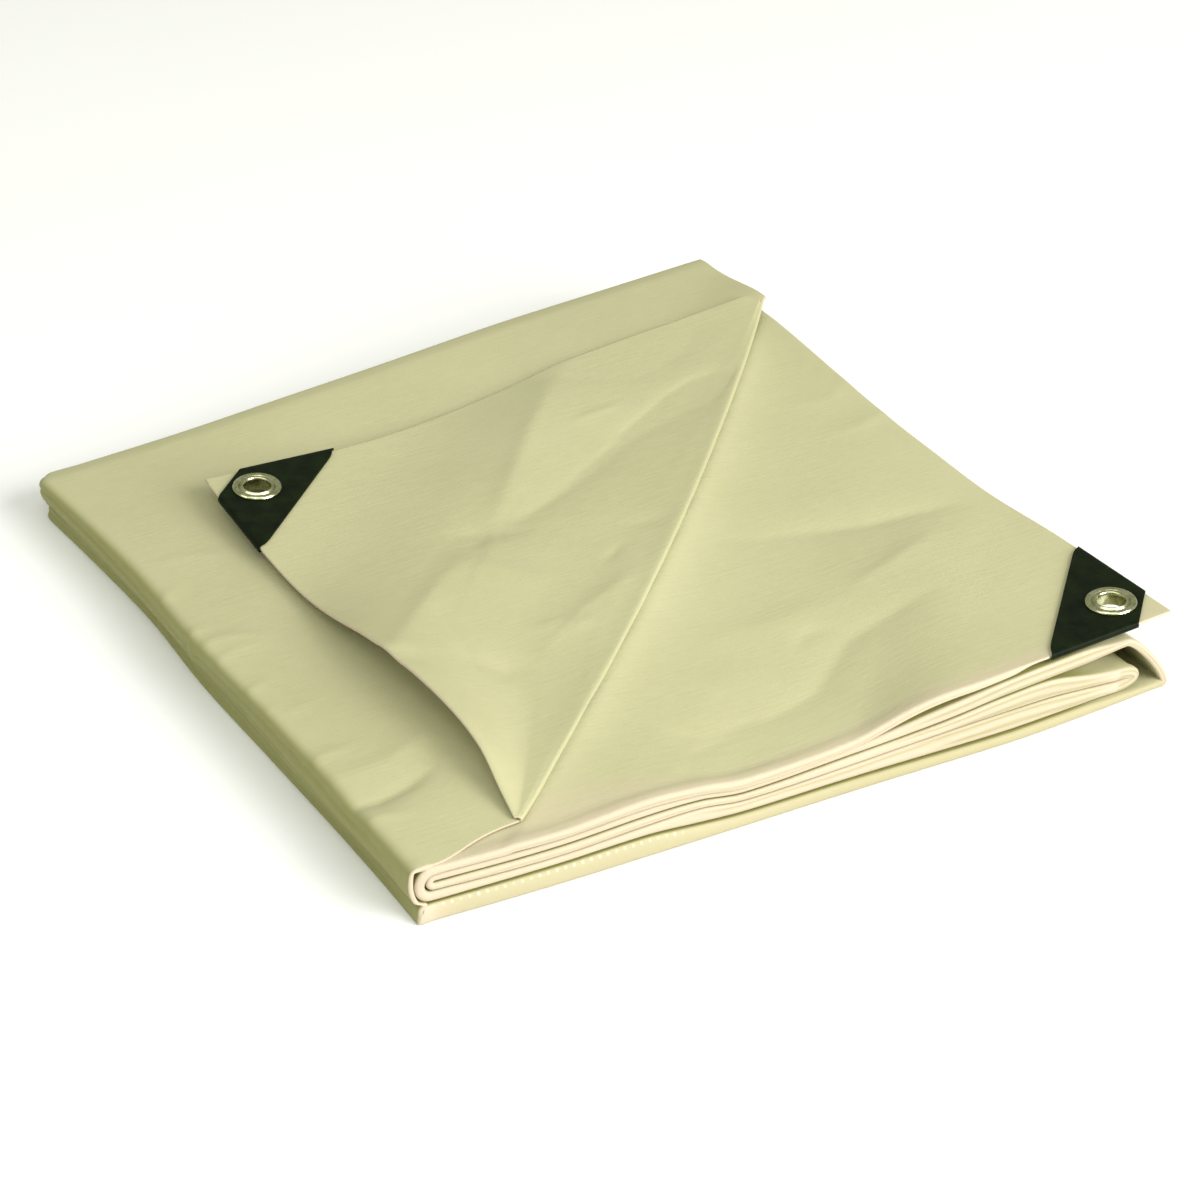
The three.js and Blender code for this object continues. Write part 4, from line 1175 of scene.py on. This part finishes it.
def patch_ring(reach, inset):
    """One closed ring round the patch at u + w = reach, inset from the outer skin. The two tips are
    rounded, by points that lie closer to the corner there."""
    half = PATCH_TOTAL / 2
    radius = half - inset
    flat = mix(half / reach, 1 - half / reach, np.linspace(0, 1, PATCH_SIDE + 1))
    to_tip = np.clip(1 - np.minimum(flat, 1 - flat) / PATCH_TIP["share"], 0, 1)
    near = reach - PATCH_TIP["back"] * to_tip**2 * (reach - PATCH_CUT) / (PATCH_LEG - PATCH_CUT)
    ring = [(r * (1 - s), r * s, radius) for s, r in zip(flat, near)]
    angles = [math.pi * n / (PATCH_BEND + 1) for n in range(1, PATCH_BEND + 1)]
    tip = near[-1] - half
    round_edge = [(radius * math.sin(a), radius * math.cos(a)) for a in angles]
    ring += [(half - out, tip + out, up) for out, up in round_edge]
    ring += [(r * (1 - s), r * s, -radius) for s, r in zip(flat[::-1], near[::-1])]
    ring += [(tip + out, half - out, -up) for out, up in round_edge]
    return np.array(ring)


def patch_piece(name, own, node):
    reaches = mix(PATCH_CUT, PATCH_LEG, np.linspace(0, 1, PATCH_RINGS + 1))
    outer = [patch_ring(r, 0) for r in reaches]
    inner = [patch_ring(r, PATCH_PLATE) for r in reaches]
    rings = np.array([*outer, *inner[::-1]])
    local = rings.reshape(-1, 3)
    vertices = in_frame(own, local[:, 0], local[:, 1], local[:, 2] - PATCH_TOTAL / 2)
    faces = [[a, b, c, d] for a, d, c, b in ring_faces(len(rings), len(outer[0]))]
    made = make_object(name, vertices, faces, PATCH)
    cut_hole(made, own, EYE_BARREL_R + PATCH_GAP, 3)
    made.data.set_sharp_from_angle(angle=math.radians(50))
    bevel = made.modifiers.new("soft_edges", "BEVEL")
    bevel.width, bevel.segments = 0.3 * MM, 2
    bevel.limit_method, bevel.angle_limit = "ANGLE", math.radians(50)
    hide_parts(node)
    return made


# Eyelet: section of the ring, radius and height over the patch's top face, mm.
EYELET_TOP = [
    (6.0, 0.0), (6.05, 0.7), (6.3, 1.25), (6.8, 1.62), (7.3, 1.62), (7.65, 1.2), (8.0, 0.8), (8.4, 1.2),
    (9.2, 1.62), (9.9, 1.55), (10.5, 1.2), (10.85, 0.8), (11.0, 0.45), (10.95, 0.3),
]
EYELET_UNDER = [
    (6.8, 0.3), (6.8, -3.9), (10.6, -3.9), (10.2, -4.8), (9.0, -5.0), (6.5, -5.0), (6.1, -4.7), (6.0, -4.0),
]
EYELET_SIDES = 72


def eyelet_piece(name, own, node):
    section = EYELET_TOP + EYELET_UNDER
    angles = 2 * math.pi * np.arange(EYELET_SIDES) / EYELET_SIDES
    vertices = np.concatenate([
        in_frame(own, EYE_IN + r * np.cos(angles), EYE_IN + r * np.sin(angles), h)
        for r, h in section
    ])
    faces = ring_faces(len(section), EYELET_SIDES)
    made = make_object(name, vertices, faces, METAL)
    made.data.set_sharp_from_angle(angle=math.radians(40))
    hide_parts(node)
    return made


def cloth_piece():
    vertices, faces, marks = cloth_mesh()
    made = make_object("tarp_sheet", vertices, faces, CLOTH)
    for name, values in marks.items():
        made.data.attributes.new(name, "FLOAT", "POINT").data.foreach_set("value", values)
    for own in (RIGHT_FRAME, LEFT_FRAME):
        cut_hole(made, own, EYE_BARREL_R + PATCH_GAP, 3)
    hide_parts("tarp_cloth")
    return made


SIDES = {"right": RIGHT_FRAME, "left": LEFT_FRAME}
cloth = cloth_piece()
patches = [patch_piece(f"patch_sheet_{side}", own, f"patch_{side}") for side, own in SIDES.items()]
eyelets = [eyelet_piece(f"eyelet_ring_{side}", own, f"eyelet_{side}") for side, own in SIDES.items()]

# Floor, light and camera.
CAMERA = {
    "azimuth": -29.3, "elevation": 32.8, "distance": 1.535, "target": (0, -15, 0),
    "lens": 105, "sensor": 36,
}
# Lights: azimuth and elevation in degrees, distance and size in metres, power in watts, and colour.
LIGHTS = {
    "key": (28, 28, 3.0, 2.0, 124, (1.0, 0.955, 0.93)),
    "top": (-35, 58, 2.4, 1.8, 21, (0.98, 1.0, 0.98)),
    "fill": (-85, 38, 6, 3.0, 66, (1.0, 0.98, 0.9)),
}
SKY = {"colour": (0.98, 1.0, 0.8, 1), "strength": 0.39}
FLOOR = {"half": 6, "z": -0.0003}


def back_vector(azimuth, elevation):
    a, e = math.radians(azimuth), math.radians(elevation)
    return Vector((math.sin(a) * math.cos(e), -math.cos(a) * math.cos(e), math.sin(e)))


def make_camera():
    data = bpy.data.cameras.new("camera")
    data.lens, data.sensor_width = CAMERA["lens"], CAMERA["sensor"]
    camera = bpy.data.objects.new("camera", data)
    bpy.context.scene.collection.objects.link(camera)
    back = back_vector(CAMERA["azimuth"], CAMERA["elevation"])
    camera.location = Vector((np.array(CAMERA["target"]) + SHIFT) * MM) + back * CAMERA["distance"]
    camera.rotation_euler = back.to_track_quat("Z", "Y").to_euler()
    bpy.context.scene.camera = camera


def area_light(name, azimuth, elevation, distance, size, power, colour):
    data = bpy.data.lights.new(name, "AREA")
    data.size, data.energy, data.color = size, power, colour
    lamp = bpy.data.objects.new(name, data)
    bpy.context.scene.collection.objects.link(lamp)
    back = back_vector(azimuth, elevation)
    lamp.location = back * distance
    lamp.rotation_euler = back.to_track_quat("Z", "Y").to_euler()


def make_stage():
    mesh = bpy.data.meshes.new("floor")
    signs = ((-1, -1), (1, -1), (1, 1), (-1, 1))
    corners = [(FLOOR["half"] * x, FLOOR["half"] * y, FLOOR["z"]) for x, y in signs]
    mesh.from_pydata(corners, [], [[0, 1, 2, 3]])
    floor = bpy.data.objects.new("floor", mesh)
    bpy.context.scene.collection.objects.link(floor)
    material, tree, shader, place = new_material("floor")
    tone = blend_colours(tree, noise(tree, place, 3), *COLOURS["floor"])
    tree.links.new(tone, shader.inputs["Base Color"])
    shader.inputs["Roughness"].default_value = 0.9
    floor.data.materials.append(material)
    world = bpy.data.worlds.new("studio")
    world.use_nodes = True
    background = world.node_tree.nodes["Background"]
    background.inputs["Color"].default_value = SKY["colour"]
    background.inputs["Strength"].default_value = SKY["strength"]
    bpy.context.scene.world = world
    for name, light in LIGHTS.items():
        area_light(name, *light)
    bpy.context.scene.view_settings.view_transform = "Standard"


make_camera()
make_stage()
